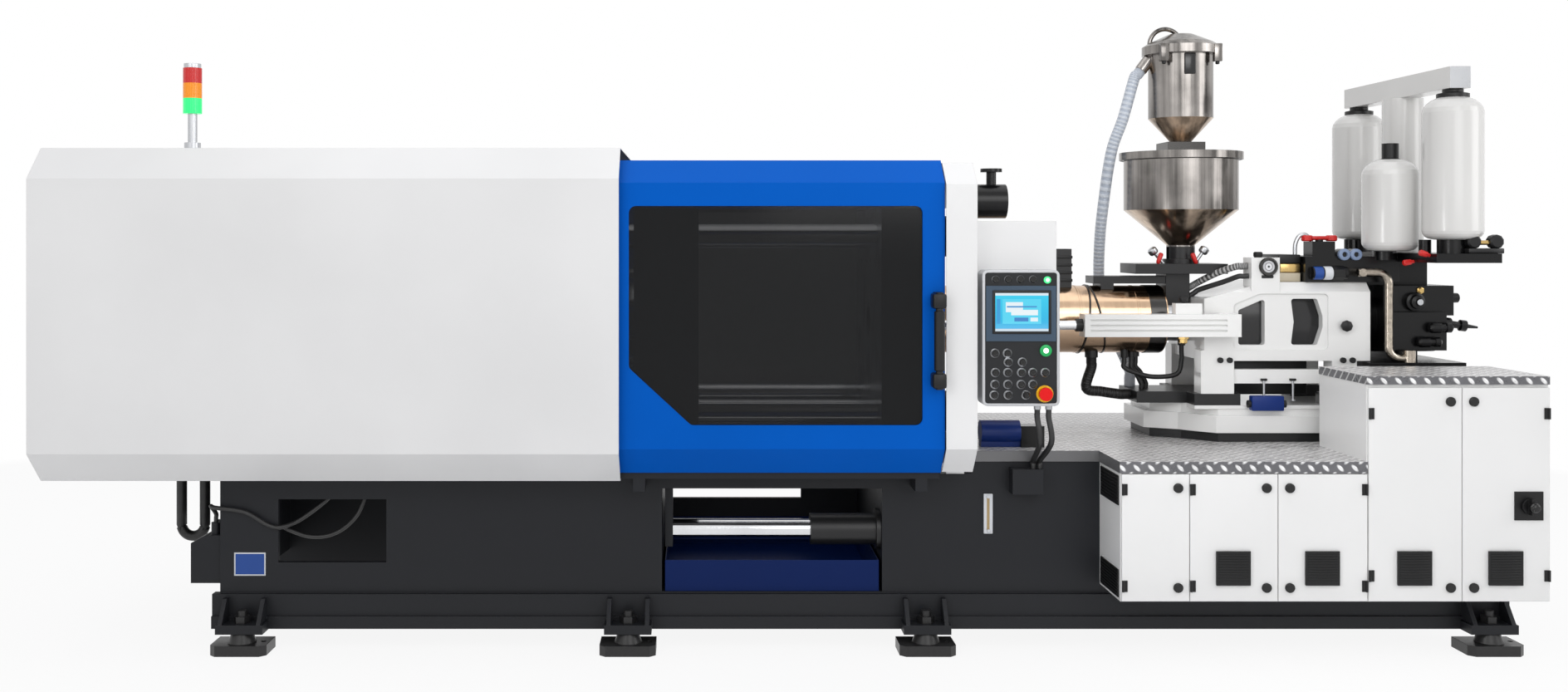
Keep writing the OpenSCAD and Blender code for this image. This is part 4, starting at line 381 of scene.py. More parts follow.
plate = material("tear_plate", tear, {"Color": (1.0, 0.99, 0.98, 1), "Ground": (0.47, 0.46, 0.46, 1), "Pitch": 0.064},
                 Metallic=0.1)
# The faces folded down take a darker copy of the same plate: painted shade on the sides that turn from the light
shaded_tread_edge = material("tear_plate_edge_shaded", tear, {"Color": (0.85, 0.85, 0.85, 1), "Ground": (0.14, 0.14, 0.15, 1),
                                                "Pitch": 0.07}, Metallic=0.3)
fold_grey = paint("plain_fold", (0.16, 0.16, 0.165), rough=0.4, peel=0.05, edge=0.5, Metallic=0.4)
plain_end = 1.6
dress("deck_plates", plate, shaded_tread_edge, fold_grey)
recolour("deck_plates", 1, lambda x, y, z, n: abs(n.z) < 0.5)
recolour("deck_plates", 2, lambda x, y, z, n: abs(n.z) < 0.5 and x < plain_end and y < 0)


# Clamp: cast platens in charcoal paint with machined faces, four hard-chromed tie bars, a direct cylinder.
# Turned and ground metal has fine lines along the cut, which spread its reflections.
metal, given = new_group("cut_metal", [
    ("Color", "Color", (0.6, 0.6, 0.6, 1)), ("Roughness", "Float", 0.25), ("Grain", "Vector", (400, 400, 400)),
    ("Cut", "Float", 0.1), ("Streak and Sheen", "Float", 0.08)])
spot = add(metal, "TexCoord").outputs["Object"]
stretched = add(metal, "VectorMath", {0: spot, 1: given["Grain"]}, operation="MULTIPLY").outputs[0]
lines = noise(metal, stretched, 1.0, 4, 0.6)
round_edge = add(metal, "Bevel", {"Radius": 0.003}, samples=4).outputs["Normal"]
both_scales = reckon(metal, "ADD", lines, noise(metal, spot, 3.5, 4))
# Small streak values are the metal's own grain; large ones paint light and dark bands into the colour as painted
# reflections
dim, lit_up = (reckon(metal, sign, 1.0, given["Streak and Sheen"]) for sign in ("SUBTRACT", "ADD"))
colour = tone(metal, given["Color"], rescale(metal, both_scales, 0.7, 1.3, dim, lit_up))
rough = reckon(metal, "ADD", given["Roughness"], rescale(metal, both_scales, 0.7, 1.3, -0.05, 0.09))
ground = add(metal, "Bump", {"Strength": given["Cut"], "Distance": 0.0004, "Height": lines,
                             "Normal": round_edge}).outputs["Normal"]
end_group(metal, colour, rough, ground)


def bare_metal(name, colour, rough, grain, cut, streak_and_sheen=0.08, **shader):
    values = {"Color": (*colour, 1), "Roughness": rough, "Grain": grain, "Cut": cut, "Streak and Sheen": streak_and_sheen}
    return material(name, metal, values, Metallic=1.0, **shader)


slide_top = 0.95
chrome = bare_metal("hard_chrome", (0.72, 0.73, 0.75), rough=0.1, grain=(900, 40, 40), cut=0.06)
steel = bare_metal("bright_steel", (0.52, 0.53, 0.55), rough=0.28, grain=(300, 300, 300), cut=0.12)
dress("tie_bars clamp_ram traverse_rod carriage_rods injection_piston", chrome)
dress("rear_platen fixed_platen moving_platen", charcoal, steel)
for name in ("rear_platen", "fixed_platen", "moving_platen"):
    recolour(name, 1, lambda x, y, z, n: abs(n.x) > 0.9 and z > slide_top)
dress("clamp_cylinder traverse_cylinder tie_bar_nuts", black_paint)
dress("ejector barrel screw", steel)
dress("gate_rails", charcoal)


# Clamp covers: two halves of folded sheet steel in white powder coat, butted along the roof and lipped below.
# Each half is bolted down along its lip; the guard post and the panel's column are of the same sheet.
white_paint = paint("white_paint", (0.8, 0.8, 0.8), rough=0.34, peel=0.07)
dress("clamp_cover_front clamp_cover_rear guard_post panel_column", white_paint)


# Safety gates: blue sheet frames with a tinted polycarbonate pane in a rebate and a black bow handle.
# The pane is glued behind the rebate; the gate runs on the rails and slides under the cover.
blue = paint("blue_paint", (0.0, 0.105, 0.53), rough=0.45, peel=0.07, edge=0.1, Specular_IOR_Level=0.05)
plastic = paint("black_plastic", (0.006, 0.006, 0.0065), rough=0.4, peel=0.3, edge=0.4, Specular_IOR_Level=0.35)
dress("front_gate", blue)
dress("rear_gate", blue, plastic)
dress("front_handle", plastic)
handle_low, handle_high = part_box("front_handle")
bar_x, bar_y = (handle_low[0] + handle_high[0]) / 2, handle_low[1] + 0.018
rear_face = max(-handle_low[1] - 0.051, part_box("rear_window")[1][1] + 0.013)
recolour("rear_gate", 1, lambda x, y, z, n: y > rear_face and abs(x - bar_x) < 0.03)
turned("handle_grip", (bar_x, bar_y, 1.437), upward, [(0, 0.022), (0.004, 0.0255), (0.282, 0.0255), (0.286, 0.022)],
       [plastic], "front_gate")
gate_front, clamp_half, clamp_height = -0.9555, 0.033, 0.073
for k, low in enumerate((1.352, 1.735)):
    block(f"handle_clamp_{k + 1}", (bar_x - clamp_half, bar_y - 0.024, low),
          (bar_x + clamp_half, gate_front, low + clamp_height), [plastic], "front_gate", edge=0.012)
# The pane is near black and dense: its tint, made dark enough to stand in for the shade inside the guard too
tint_and_shade = paint("tinted_pane", (0.004, 0.0045, 0.0055), rough=0.12, Alpha=0.74, Specular_IOR_Level=0.25)
dress("front_window rear_window", tint_and_shade)


# Signal tower: a bright pole with three moulded lenses, green lit below, amber and red above.
# The lenses are clear ribbed plastic snapped on each other under a cap.
def banded(tree, value, bands):
    ramp = add(tree, "ValToRGB", {"Fac": value})
    ramp.color_ramp.interpolation = "CONSTANT"
    for k, (at, hue) in enumerate(bands):
        stop = ramp.color_ramp.elements[k] if k < 2 else ramp.color_ramp.elements.new(at)
        stop.position, stop.color = at, hue
    return ramp.outputs[0]


dress("signal_tower", steel)
lens_low, lens_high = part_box("tower_lenses")
lens = material("tower_lens", Emission_Strength=0.55, Roughness=0.18)
tree = lens.node_tree
surface = tree.nodes["Principled BSDF"].inputs
spot = add(tree, "TexCoord").outputs["Object"]
level = rescale(tree, part_of(tree, spot, "Z"), lens_low[2], lens_high[2])
# Green glows as the lit lamp; amber and red are unlit but get a faint painted glow
for label, green_hue, amber_hue, red_hue in (
    ("Base Color", (0.0, 0.62, 0.12, 1), (0.95, 0.3, 0.005, 1), (0.6, 0.012, 0.012, 1)),
    ("Emission Color", (0.05, 0.9, 0.3, 1), (0.12, 0.04, 0.0, 1), (0.06, 0.0, 0.0, 1)),
):
    tree.links.new(banded(tree, level, ((0.0, green_hue), (1 / 3, amber_hue), (2 / 3, red_hue))), surface[label])
rib = add(tree, "TexWave", {"Vector": spot, "Scale": 28.0, "Distortion": 0.0}, bands_direction="X").outputs["Fac"]
tree.links.new(add(tree, "Bump", {"Strength": 0.5, "Distance": 0.002, "Height": rib}).outputs[0], surface["Normal"])
dress("tower_lenses", lens)


# Operator panel: a silver rim round a dark moulded face, a slate bezel with a touch screen, rows of black keys,
# a lit start button and a red mushroom on a yellow ring. The screen shows plain blocks of colour.
bezel_front, panel_front = -0.9985, -0.998
silver = paint("silver_paint", (0.5, 0.51, 0.53), rough=0.3, peel=0.05, edge=0.1, Metallic=0.7)
panel_grey = paint("panel_grey", (0.016, 0.017, 0.019), rough=0.5, peel=0.2, edge=0.2, Specular_IOR_Level=0.25)
slate = paint("slate_bezel", (0.045, 0.075, 0.115), rough=0.45, peel=0.15, edge=0.2, Specular_IOR_Level=0.3)
yellow = paint("yellow_plastic", (0.8, 0.45, 0.0), rough=0.35, peel=0.1)
red = paint("red_plastic", (0.72, 0.003, 0.005), rough=0.3, peel=0.05, Specular_IOR_Level=0.25)
green = paint("lit_button", (0.02, 0.6, 0.12), rough=0.3, peel=0.05, Emission_Color=(0.1, 0.95, 0.35, 1),
              Emission_Strength=0.7)
dress("panel_housing", silver)
dress("panel_face", panel_grey, slate, plastic, yellow)
dress("e_stop", red)
dress("start_button", green)
stop_low, stop_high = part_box("e_stop")
stop_x, stop_z, ring_radius = (stop_low[0] + stop_high[0]) / 2, (stop_low[2] + stop_high[2]) / 2, 0.045
slate_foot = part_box("panel_screen")[0][2] - 0.06
recolour("panel_face", 2, lambda x, y, z, n: y < bezel_front)
recolour("panel_face", 1, lambda x, y, z, n: y < bezel_front and z > slate_foot)
recolour("panel_face", 3, lambda x, y, z, n: y < bezel_front and math.hypot(x - stop_x, z - stop_z) < ring_radius)

glow = material("touch_screen", Emission_Strength=0.95, Base_Color=(0.01, 0.02, 0.03, 1), Roughness=0.12)
tree = glow.node_tree
spot = add(tree, "SeparateXYZ", {"Vector": add(tree, "TexCoord").outputs["Object"]}).outputs
along = rescale(tree, spot["X"], 0.996, 1.254)
rise = rescale(tree, spot["Z"], 1.624, 1.81)
shown = blend(tree, rise, (0.0, 0.4, 0.75, 1), (0.02, 0.62, 0.86, 1)).outputs[0]
for (left, right, bottom, top), hue in (
    ((0.0, 1.0, 0.93, 1.0), (0.72, 0.82, 0.88, 1)), ((0.0, 1.0, 0.0, 0.07), (0.55, 0.66, 0.74, 1)),
    ((0.14, 0.86, 0.2, 0.84), (0.08, 0.66, 0.88, 1)), ((0.2, 0.52, 0.5, 0.76), (0.8, 0.88, 0.92, 1)),
    ((0.3, 0.8, 0.42, 0.56), (0.82, 0.9, 0.93, 1)), ((0.22, 0.78, 0.62, 0.66), (0.04, 0.28, 0.62, 1)),
    ((0.36, 0.62, 0.26, 0.36), (0.03, 0.2, 0.55, 1)), ((0.66, 0.8, 0.26, 0.36), (0.8, 0.88, 0.92, 1)),
    ((0.03, 0.1, 0.2, 0.84), (0.02, 0.32, 0.68, 1)),
):
    inside = reckon(tree, "GREATER_THAN", along, left)
    for axis, kind, edge in ((along, "LESS_THAN", right), (rise, "GREATER_THAN", bottom), (rise, "LESS_THAN", top)):
        inside = reckon(tree, "MULTIPLY", inside, reckon(tree, kind, axis, edge))
    shown = mix(tree, inside, shown, hue)
tree.links.new(shown, tree.nodes["Principled BSDF"].inputs["Emission Color"])
dress("panel_screen", glow)
screen = block("touch_screen_frame", (0.984, -1.007, 1.612), (1.266, bezel_front, 1.822), [plastic, glow], "frame",
               edge=0.003)
sink_face(screen, frontward, rim=0.01, depth=0.003, index=1)


def again(piece, name, shift, body="frame"):
    made = piece.copy()
    made.data = piece.data.copy()
    made.name = name
    bpy.context.collection.objects.link(made)
    pick(made)
    made.location = shift
    bpy.ops.object.transform_apply(location=True, rotation=True, scale=True)
    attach(made, body)


dark_metal = bare_metal("dark_steel", (0.07, 0.068, 0.066), rough=0.2, grain=(60, 300, 300), cut=0.08)
shiny_black = paint("gloss_black_plastic", (0.004, 0.004, 0.004), rough=0.12)
key_x, key_z, key_cap = 0.996, 1.519, 0.0163
key = turned("panel_key_1", (key_x, panel_front, key_z), frontward,
             [(0, 0.0225), (0.003, 0.0225), (0.009, 0.016), (0.014, 0.015), (0.017, 0.0125), (0.015, 0.011)],
             [steel, shiny_black], "frame", sides=20)
for face in key.data.polygons:
    face.material_index = 0 if math.hypot(face.center.x - key_x, face.center.z - key_z) > key_cap else 1
for k, (x, z) in enumerate((
    (1.056, 1.519), (1.06, 1.476), (1.128, 1.476), (0.998, 1.426), (1.058, 1.426), (1.124, 1.426), (1.178, 1.426),
    (1.238, 1.426), (0.996, 1.369), (1.058, 1.369), (1.122, 1.369), (1.178, 1.369), (0.992, 1.318), (1.06, 1.318),
    (1.145, 1.318),
)):
    again(key, f"panel_key_{k + 2}", (x - key_x, 0, z - key_z))
jack_x, jack_pitch, jack_z, jack_sink = 1.0, 0.06, 1.874, 0.006
for k in range(4):
    again(key, f"panel_jack_{k + 1}", (jack_x + jack_pitch * k - key_x, jack_sink, jack_z - key_z))
lit_white = paint("lit_centre", (0.8, 0.85, 0.8), rough=0.3, Emission_Color=(0.9, 1.0, 0.92, 1), Emission_Strength=0.8)
ring_green = paint("green_ring", (0.0, 0.22, 0.05), rough=0.3, Emission_Color=(0.0, 0.35, 0.08, 1),
                   Emission_Strength=0.5)
start_x, start_z, lamp_x, lamp_z, lens_foot = 1.24, 1.532, 1.248, 1.872, -1.01
turned("start_button_ring", (start_x, -1.0053, start_z), frontward,
       [(0, 0.027), (0.001, 0.029), (0.004, 0.028), (0.0052, 0.0215)], [ring_green], "start_button")
turned("start_button_lens", (start_x, lens_foot, start_z), frontward, [(0, 0.013), (0.002, 0.013), (0.003, 0.01)],
       [lit_white], "start_button", sides=24)
turned("panel_lamp_lens", (lamp_x, lens_foot, lamp_z), frontward, [(0, 0.009), (0.003, 0.008)], [lit_white], "frame",
       sides=24)
turned("panel_lamp", (lamp_x, panel_front, lamp_z), frontward, [(0, 0.017), (0.008, 0.017), (0.012, 0.011)], [green],
       "frame")


# Cabinets: folded steel boxes in white powder coat with five doors on black hinges and quarter-turn locks.
# Vents, hinges, locks and the switch plate are black mouldings screwed through the door skins.
cabinet_white = paint("cabinet_white", (0.78, 0.78, 0.775), rough=0.36, peel=0.16, soil=0.1)
dress("cabinet", cabinet_white, shaded_tread_edge, plate)
cabinet_top, skin_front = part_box("cabinet")[1][2], -1.0005
# The sides of the cabinet's top rim take the darker tread copy, painted shade
recolour("cabinet", 1, lambda x, y, z, n: z > cabinet_top - 0.041)
recolour("cabinet", 2, lambda x, y, z, n: z > cabinet_top - 0.001)
for k in range(1, 6):
    dress(f"door_{k}", cabinet_white, plastic)
    recolour(f"door_{k}", 1, lambda x, y, z, n: y < skin_front)
dress("main_switch", plastic)

# Each vent is a framed grille of thin slats, each lock has a round cap and the switch a round grip
vent_low, vent_side, vent_rim, slat_count, slat_tuck = 0.402, 0.166, 0.012, 11, 0.001
slat_step = (vent_side - 2 * vent_rim) / slat_count
for k, left in ((2, 2.0588), (3, 2.4877), (4, 2.9313), (5, 3.3698)):
    grille = block(f"vent_grille_{k}", (left, -1.013, vent_low), (left + vent_side, -1.0068, vent_low + vent_side),
                   [plastic], f"door_{k}", edge=0.002)
    sink_face(grille, frontward, rim=vent_rim, depth=0.004, index=0)
    first_slat = vent_low + vent_rim + slat_step / 4
    slats = block(f"vent_slats_{k}", (left + vent_rim - slat_tuck, -1.0125, first_slat),
                  (left + vent_side - vent_rim + slat_tuck, -1.0085, first_slat + slat_step / 2), [plastic],
                  f"door_{k}", edge=0.001)
    rows = slats.modifiers.new("rows", "ARRAY")
    rows.count, rows.use_relative_offset, rows.use_constant_offset = slat_count, False, True
    rows.constant_offset_displace = (0, 0, slat_step)
    bpy.ops.object.modifier_apply(modifier="rows")
lock_front, lower_lock = -1.009, 0.39
for k, (x, upper_lock) in enumerate(((1.878, 0.87), (2.304, 0.87), (2.416, 0.87), (3.19, 1.286), (3.302, 1.286))):
    for row, z in (("lower", lower_lock), ("upper", upper_lock)):
        turned(f"lock_cap_{row}_{k + 1}", (x, lock_front, z), frontward,
               [(0, 0.022), (0.0015, 0.0215), (0.0025, 0.017), (0.003, 0.01)], [shiny_black], f"door_{k + 1}",
               sides=28)
turned("main_switch_grip", (3.566, -1.05, 0.784), frontward,
       [(0, 0.024), (0.012, 0.024), (0.016, 0.019), (0.028, 0.017), (0.031, 0.012)], [shiny_black], "main_switch",
       sides=24)


# Two black louvre panels close the vents on the low cabinet's end
def louvre(name, low, high, count, rim=0.01):
    surround = block(name, (1.597, -0.965, low), (1.604, -0.65, high), [plastic], "frame", edge=0.002)
    sink_face(surround, -rightward, rim=rim, depth=0.004, index=0)
    step = (high - low - 2 * rim) / count
    for k in range(count):
        slat = low + rim + step * (k + 0.25)
        block(f"{name}_slat_{k + 1}", (1.5965, -0.954, slat), (1.602, -0.661, slat + step * 0.5), [plastic], "frame",
              edge=0.001)


louvre("upper_louvre", low=0.78, high=0.925, count=8)
louvre("lower_louvre", low=0.335, high=0.47, count=8)


# Injection unit: a white base on a black plinth, a gloss white cast housing on legs, black shoes and neck.
# The castings are filled and sprayed gloss, so they shine more than the sheet work.
gloss = paint("white_gloss", (0.84, 0.84, 0.83), rough=0.2, peel=0.1, Coat_Weight=0.4)
plinth_top, tail_start, knob_plane = 1.0445, 3.1205, 0.302
dress("injection_base", gloss, black_paint)
recolour("injection_base", 1, lambda x, y, z, n: z < plinth_top)
dress("carriage_cylinders", gloss)
dress("carriage_saddle hopper_base", black_paint)
dress("injection_housing", gloss, dark_metal, plastic)
recolour("injection_housing", 1, lambda x, y, z, n: x > tail_start)
recolour("injection_housing", 2, lambda x, y, z, n: abs(y) > knob_plane)

# Dark opaque panes close both windows from inside, on each side: painted shade for the hollow of the housing behind
# them
shade_pane = paint("dark_shade_pane", (0.012, 0.012, 0.013), rough=0.18)
for name, y in (("front_panes", -0.2395), ("rear_panes", 0.2355)):
    block(name, (2.405, y, 1.5), (2.885, y + 0.004, 1.7528), [shade_pane], "carriage", edge=0.001)

# A pressure gauge with a plain ringed dial sits in the block on the slope, over a black slot and under a knob
block_front, dial_radius = -0.3, 0.036
gauge = (2.579, block_front, 1.922)
dial = material("gauge_dial", Roughness=0.15)
tree = dial.node_tree
spot = add(tree, "TexCoord").outputs["Object"]
spot = add(tree, "Mapping", {"Vector": spot, "Location": [-v for v in gauge]}).outputs[0]
spot = add(tree, "SeparateXYZ", {"Vector": spot}).outputs
flat_spot = add(tree, "CombineXYZ", {"X": spot["X"], "Z": spot["Z"]}).outputs[0]
away = add(tree, "VectorMath", {0: flat_spot}, operation="LENGTH").outputs["Value"]
greys = ((0.0, 0.03), (0.16, 0.75), (0.5, 0.12), (0.58, 0.6), (0.86, 0.05))
rings = banded(tree, reckon(tree, "DIVIDE", away, dial_radius), [(at, (g, g, g * 1.03, 1)) for at, g in greys])
tree.links.new(rings, tree.nodes["Principled BSDF"].inputs["Base Color"])
turned("pressure_gauge", gauge, frontward,
       [(0, 0.049), (0.012, 0.049), (0.018, 0.045), (0.018, 0.037), (0.01, dial_radius)], [dark_metal, dial],
       "carriage", sides=48)
block("gauge_slot", (2.544, -0.305, 1.861), (2.606, block_front, 1.877), [plastic], "carriage",
      edge=0.003)
turned("gauge_knob", (2.544, -0.25, 1.97), upward, [(0, 0.02), (0.008, 0.024), (0.024, 0.024), (0.03, 0.018)],
       [plastic], "carriage", sides=12)
turned("housing_knob", (2.983, block_front, 1.61), frontward,
       [(0, 0.018), (0.016, 0.018), (0.02, 0.03), (0.034, 0.03), (0.04, 0.022)], [plastic], "carriage",
       sides=8)

# A black block under the housing stands for the carriage's guide and for the shade in the gaps there
block("carriage_guide_shade", (2.45, -0.09, 1.225), (2.87, -0.05, 1.4235), [black_paint], "carriage",
      edge=0.006)

# Two hanging T bolts lock the carriage over a blue valve that is bracketed to the front of the base
head_half = 0.018
for k, x in enumerate((2.56, 2.713)):
    block(f"lock_bolt_head_{k + 1}", (x - head_half, -0.297, 1.318), (x + head_half, -0.284, 1.33), [plastic],
          "carriage", edge=0.004)
    turned(f"lock_bolt_{k + 1}", (x, -0.2905, 1.212), upward,
           [(0, 0.012), (0.008, 0.012), (0.008, 0.006), (0.106, 0.006)], [steel], "carriage", sides=16)
pump_paint = paint("pump_blue", (0.002, 0.024, 0.17), rough=0.35, peel=0.2, edge=0.3, Specular_IOR_Level=0.3)
block("slide_valve_bracket", (2.49, -0.303, 1.165), (2.63, -0.294, 1.186), [steel], "frame", edge=0.002)
block("slide_valve", (2.475, -0.353, 1.165), (2.645, -0.303, 1.243), [pump_paint], "frame", edge=0.006)
for k, x in enumerate((2.46, 2.645)):
    turned(f"slide_valve_cap_{k + 1}", (x, -0.328, 1.2), rightward, [(0, 0.02), (0.015, 0.02)], [plastic], "frame",
           sides=24)

# A tap and a plug on the front carriage cylinder, and a boss on the end of each carriage rod
rod_side = 0.365
brass = bare_metal("brass", (0.62, 0.43, 0.17), rough=0.25, grain=(200, 200, 200), cut=0.1)
turned("cylinder_tap_knob", (2.11, -rod_side, 1.7315), upward,
       [(0, 0.012), (0.01, 0.012), (0.01, 0.024), (0.028, 0.024), (0.034, 0.018)], [plastic], "carriage",
       sides=12)
turned("cylinder_plug", (2.108, -rod_side, 1.5585), downward,
       [(0, 0.03), (0.014, 0.03), (0.014, 0.022), (0.034, 0.022), (0.04, 0.014)], [brass], "carriage",
       sides=6)
for k, y in enumerate((-rod_side, rod_side)):
    turned(f"rod_end_{k + 1}", (1.545, y, 1.617), rightward, [(0, 0.034), (0.034, 0.034)], [plastic], "carriage",
           sides=24)


# Barrel cover: a rolled sheet of bronze-coloured metal round the heater bands, strapped in lengths.
# The sheet is thin and polished, so it ripples where the straps pull it in.
barrel_axis = 1.63
bronze = bare_metal("bronze_sheet", (0.62, 0.44, 0.3), rough=0.16, grain=(26, 2.5, 2.5), cut=0.5)
dress("barrel_cover", bronze)


def band(name, coats, at, width, radius, thick, body="carriage"):
    bpy.ops.object.select_all(action="DESELECT")
    bpy.ops.mesh.primitive_cylinder_add(vertices=64, radius=radius, depth=width, end_fill_type="NOTHING",
                                        location=(at + width / 2, 0, barrel_axis), rotation=(0, math.pi / 2, 0))
    made = bpy.context.object
    wall = made.modifiers.new("wall", "SOLIDIFY")
    wall.thickness, wall.offset = thick, 1
    bpy.ops.object.modifier_apply(modifier="wall")
    settle(made, name, coats, body)


def ring(name, place, coats, tilt, radius, thick, around, across, tall, body="carriage"):
    bpy.ops.object.select_all(action="DESELECT")
    bpy.ops.mesh.primitive_torus_add(major_segments=around, minor_segments=across, major_radius=radius,
                                     minor_radius=thick, location=place, rotation=(0, tilt, 0))
    edit_all()
    bpy.ops.transform.resize(value=(1, 1, tall), orient_type="LOCAL")
    bpy.ops.object.mode_set(mode="OBJECT")
    settle(bpy.context.object, name, coats, body)


band("end_strap", [dark_metal], at=2.0, width=0.085, radius=0.1832, thick=0.003)
for k, x in enumerate((1.29, 1.62, 1.93)):
    band(f"lap_seam_{k + 1}", [bronze], at=x, width=0.012, radius=0.1831, thick=0.0015)
for k, (x, lean) in enumerate(((1.665, 0.12), (1.735, -0.2))):
    ring(f"tie_wire_{k + 1}", (x, 0, barrel_axis), [dark_metal], tilt=math.pi / 2 + lean, radius=0.1885,
         thick=0.003, around=64, across=8, tall=1.5)
rib_low, rib_pitch, rib_height = 1.835, 0.042, 0.016
for k in range(4):
    z = rib_low + rib_pitch * k
    block(f"heater_box_rib_{k + 1}", (1.478, -0.068, z), (1.604, -0.062, z + rib_height), [plastic], "carriage",
          edge=0.002)


# Hopper and loader: spun and rolled stainless sheet, polished, with flanged joints and a lid.
# Polishing goes round the axis, so reflections stretch up and down the walls; light and dark vertical bands are also
# painted into the colour as painted reflections, and the cones facing down carry a warm painted reflection.
hopper_axis, hopper_foot, throat_radius, motor_foot = 2.213, 1.934, 0.06, 2.5785
stainless = bare_metal("stainless", (0.22, 0.206, 0.195), rough=0.17, grain=(26, 26, 0.5), cut=0.04, streak_and_sheen=0.75,
                       Anisotropic=0.5)
tree = stainless.node_tree
tangent = add(tree, "Tangent", direction_type="RADIAL", axis="Z").outputs[0]
tree.links.new(tangent, tree.nodes["Principled BSDF"].inputs["Tangent"])
# The cones are the same stainless, given a warmer, lighter colour as a painted reflection
cone_reflection_tint = bare_metal("stainless_cone_reflection", (0.42, 0.335, 0.26), rough=0.15, grain=(16, 16, 0.5), cut=0.04, streak_and_sheen=0.8)
dress("hopper", stainless, cone_reflection_tint)
dress("loader", stainless, cone_reflection_tint, dark_metal)
# Faces of the cones that point down take the warm painted reflection
for name in ("hopper", "loader"):
    recolour(name, 1, lambda x, y, z, n: -0.95 < n.z < -0.3 and math.hypot(x - hopper_axis, y) > throat_radius)
recolour("loader", 2, lambda x, y, z, n: z < motor_foot)
ring("hopper_gasket", (hopper_axis, 0, 2.505), [plastic], tilt=0, radius=0.314, thick=0.011, around=72,
     across=10, tall=0.7)
red_handle = paint("red_handle", (0.62, 0.012, 0.01), rough=0.3, peel=0.05)
for k, (x, lean) in enumerate(((2.052, 0.35), (2.262, -0.4))):
    turned(f"hopper_lever_{k + 1}", (x, -0.115, hopper_foot), (lean, 0, 1),
           [(0, 0.008), (0.012, 0.012), (0.055, 0.013), (0.062, 0.008)], [red_handle], "carriage",
           sides=16)
for k, (x, lean) in enumerate(((2.1, -0.85), (2.27, 0.7))):
    turned(f"hopper_eye_nut_{k + 1}", (x, -0.06, hopper_foot), (lean, 0, 1),
           [(0, 0.009), (0.07, 0.009), (0.07, 0.02), (0.078, 0.026), (0.1, 0.026), (0.108, 0.016)], [steel], "carriage",
           sides=12)
# The loader's sight glass is the same dark pane, painted shade for the inside behind it
block("loader_glass", (2.178, -0.182, 2.955), (2.238, -0.165, 3.07), [shade_pane], "carriage", edge=0.006)
latch_half, latch_deep = 0.022, 0.02
for k, (x, y) in enumerate(((2.073, -0.155), (2.367, -0.14), (hopper_axis, 0.208))):
    block(f"lid_latch_{k + 1}", (x - latch_half, y - latch_deep, 3.025), (x + latch_half, y + latch_deep, 3.122),
          [stainless], "carriage", edge=0.005)
    turned(f"lid_latch_pin_{k + 1}", (x, y, 3.03), downward, [(0, 0.011), (0.016, 0.011), (0.02, 0.007)], [plastic],
           "carriage", sides=12)


# Hydraulics: black blocks and valves behind the housing, a blue pump on the deck, white bottles above.
# The blocks are milled and sprayed gloss; the bottles are drawn steel, strapped to a welded frame.
gloss_black = paint("gloss_black", (0.004, 0.004, 0.0045), rough=0.24, peel=0.15, edge=0.5, Specular_IOR_Level=0.3)
pipe_steel = bare_metal("pipe_steel", (0.42, 0.37, 0.31), rough=0.2, grain=(60, 60, 60), cut=0.1, streak_and_sheen=0.3)
bottle_white = paint("bottle_white", (0.68, 0.675, 0.66), rough=0.22, peel=0.1, Coat_Weight=0.3)
pump_top, pump_right, neck_foot, side_neck, side_neck_foot, clip_plane = 1.2, 1.22, 2.8, 3.28, 2.487, 0.619
dress("oil_pipe", pipe_steel)
dress("injection_cylinder", gloss_black)
dress("deck_hydraulics", gloss_black, pump_paint)
recolour("deck_hydraulics", 1, lambda x, y, z, n: z < pump_top and x < pump_right)
dress("accumulators", bottle_white, plastic)
recolour("accumulators", 1, lambda x, y, z, n: z > neck_foot or (x < side_neck and z > side_neck_foot))
dress("accumulator_frame", bottle_white, steel)
recolour("accumulator_frame", 1, lambda x, y, z, n: abs(y) > clip_plane)
for k, y in enumerate((-0.544, 0.544)):
    turned(f"bottle_collar_{k + 1}", (3.432, y, 2.786), upward,
           [(0, 0.06), (0.006, 0.078), (0.026, 0.078), (0.032, 0.05), (0.048, 0.05)], [plastic], "carriage",
           sides=12)

# On the manifold: a pilot valve with a red lever, two knurled caps, a ringed cartridge and three coil plates
pilot_y, knurl_front, cartridge_y, cartridge_z, ring_chamfer = -0.2, -0.26, -0.273, 1.8875, 0.003
turned("pilot_lever_hub", (2.89, pilot_y, 2.055), upward, [(0, 0.02), (0.01, 0.02), (0.012, 0.015), (0.026, 0.015)],
       [plastic], "carriage", sides=24)
block("pilot_lever", (2.815, -0.22, 2.062), (2.965, -0.18, 2.084), [red_handle], "carriage", edge=0.009)
for k, x in enumerate((2.825, 2.955)):
    turned(f"pilot_lever_end_{k + 1}", (x, pilot_y, 2.056), upward,
           [(0, 0.024), (0.006, 0.03), (0.026, 0.03), (0.032, 0.024)], [red_handle], "carriage",
           sides=24)
pale_blue = paint("cap_blue", (0.2, 0.27, 0.42), rough=0.4, peel=0.3, edge=0.4)
for k, x in enumerate((2.992, 3.054)):
    turned(f"knurled_cap_{k + 1}", (x, knurl_front, 1.986), frontward,
           [(0, 0.03), (0.003, 0.031), (0.022, 0.031), (0.026, 0.026), (0.026, 0.014), (0.014, 0.013)],
           [pale_blue, plastic], "carriage", sides=20)
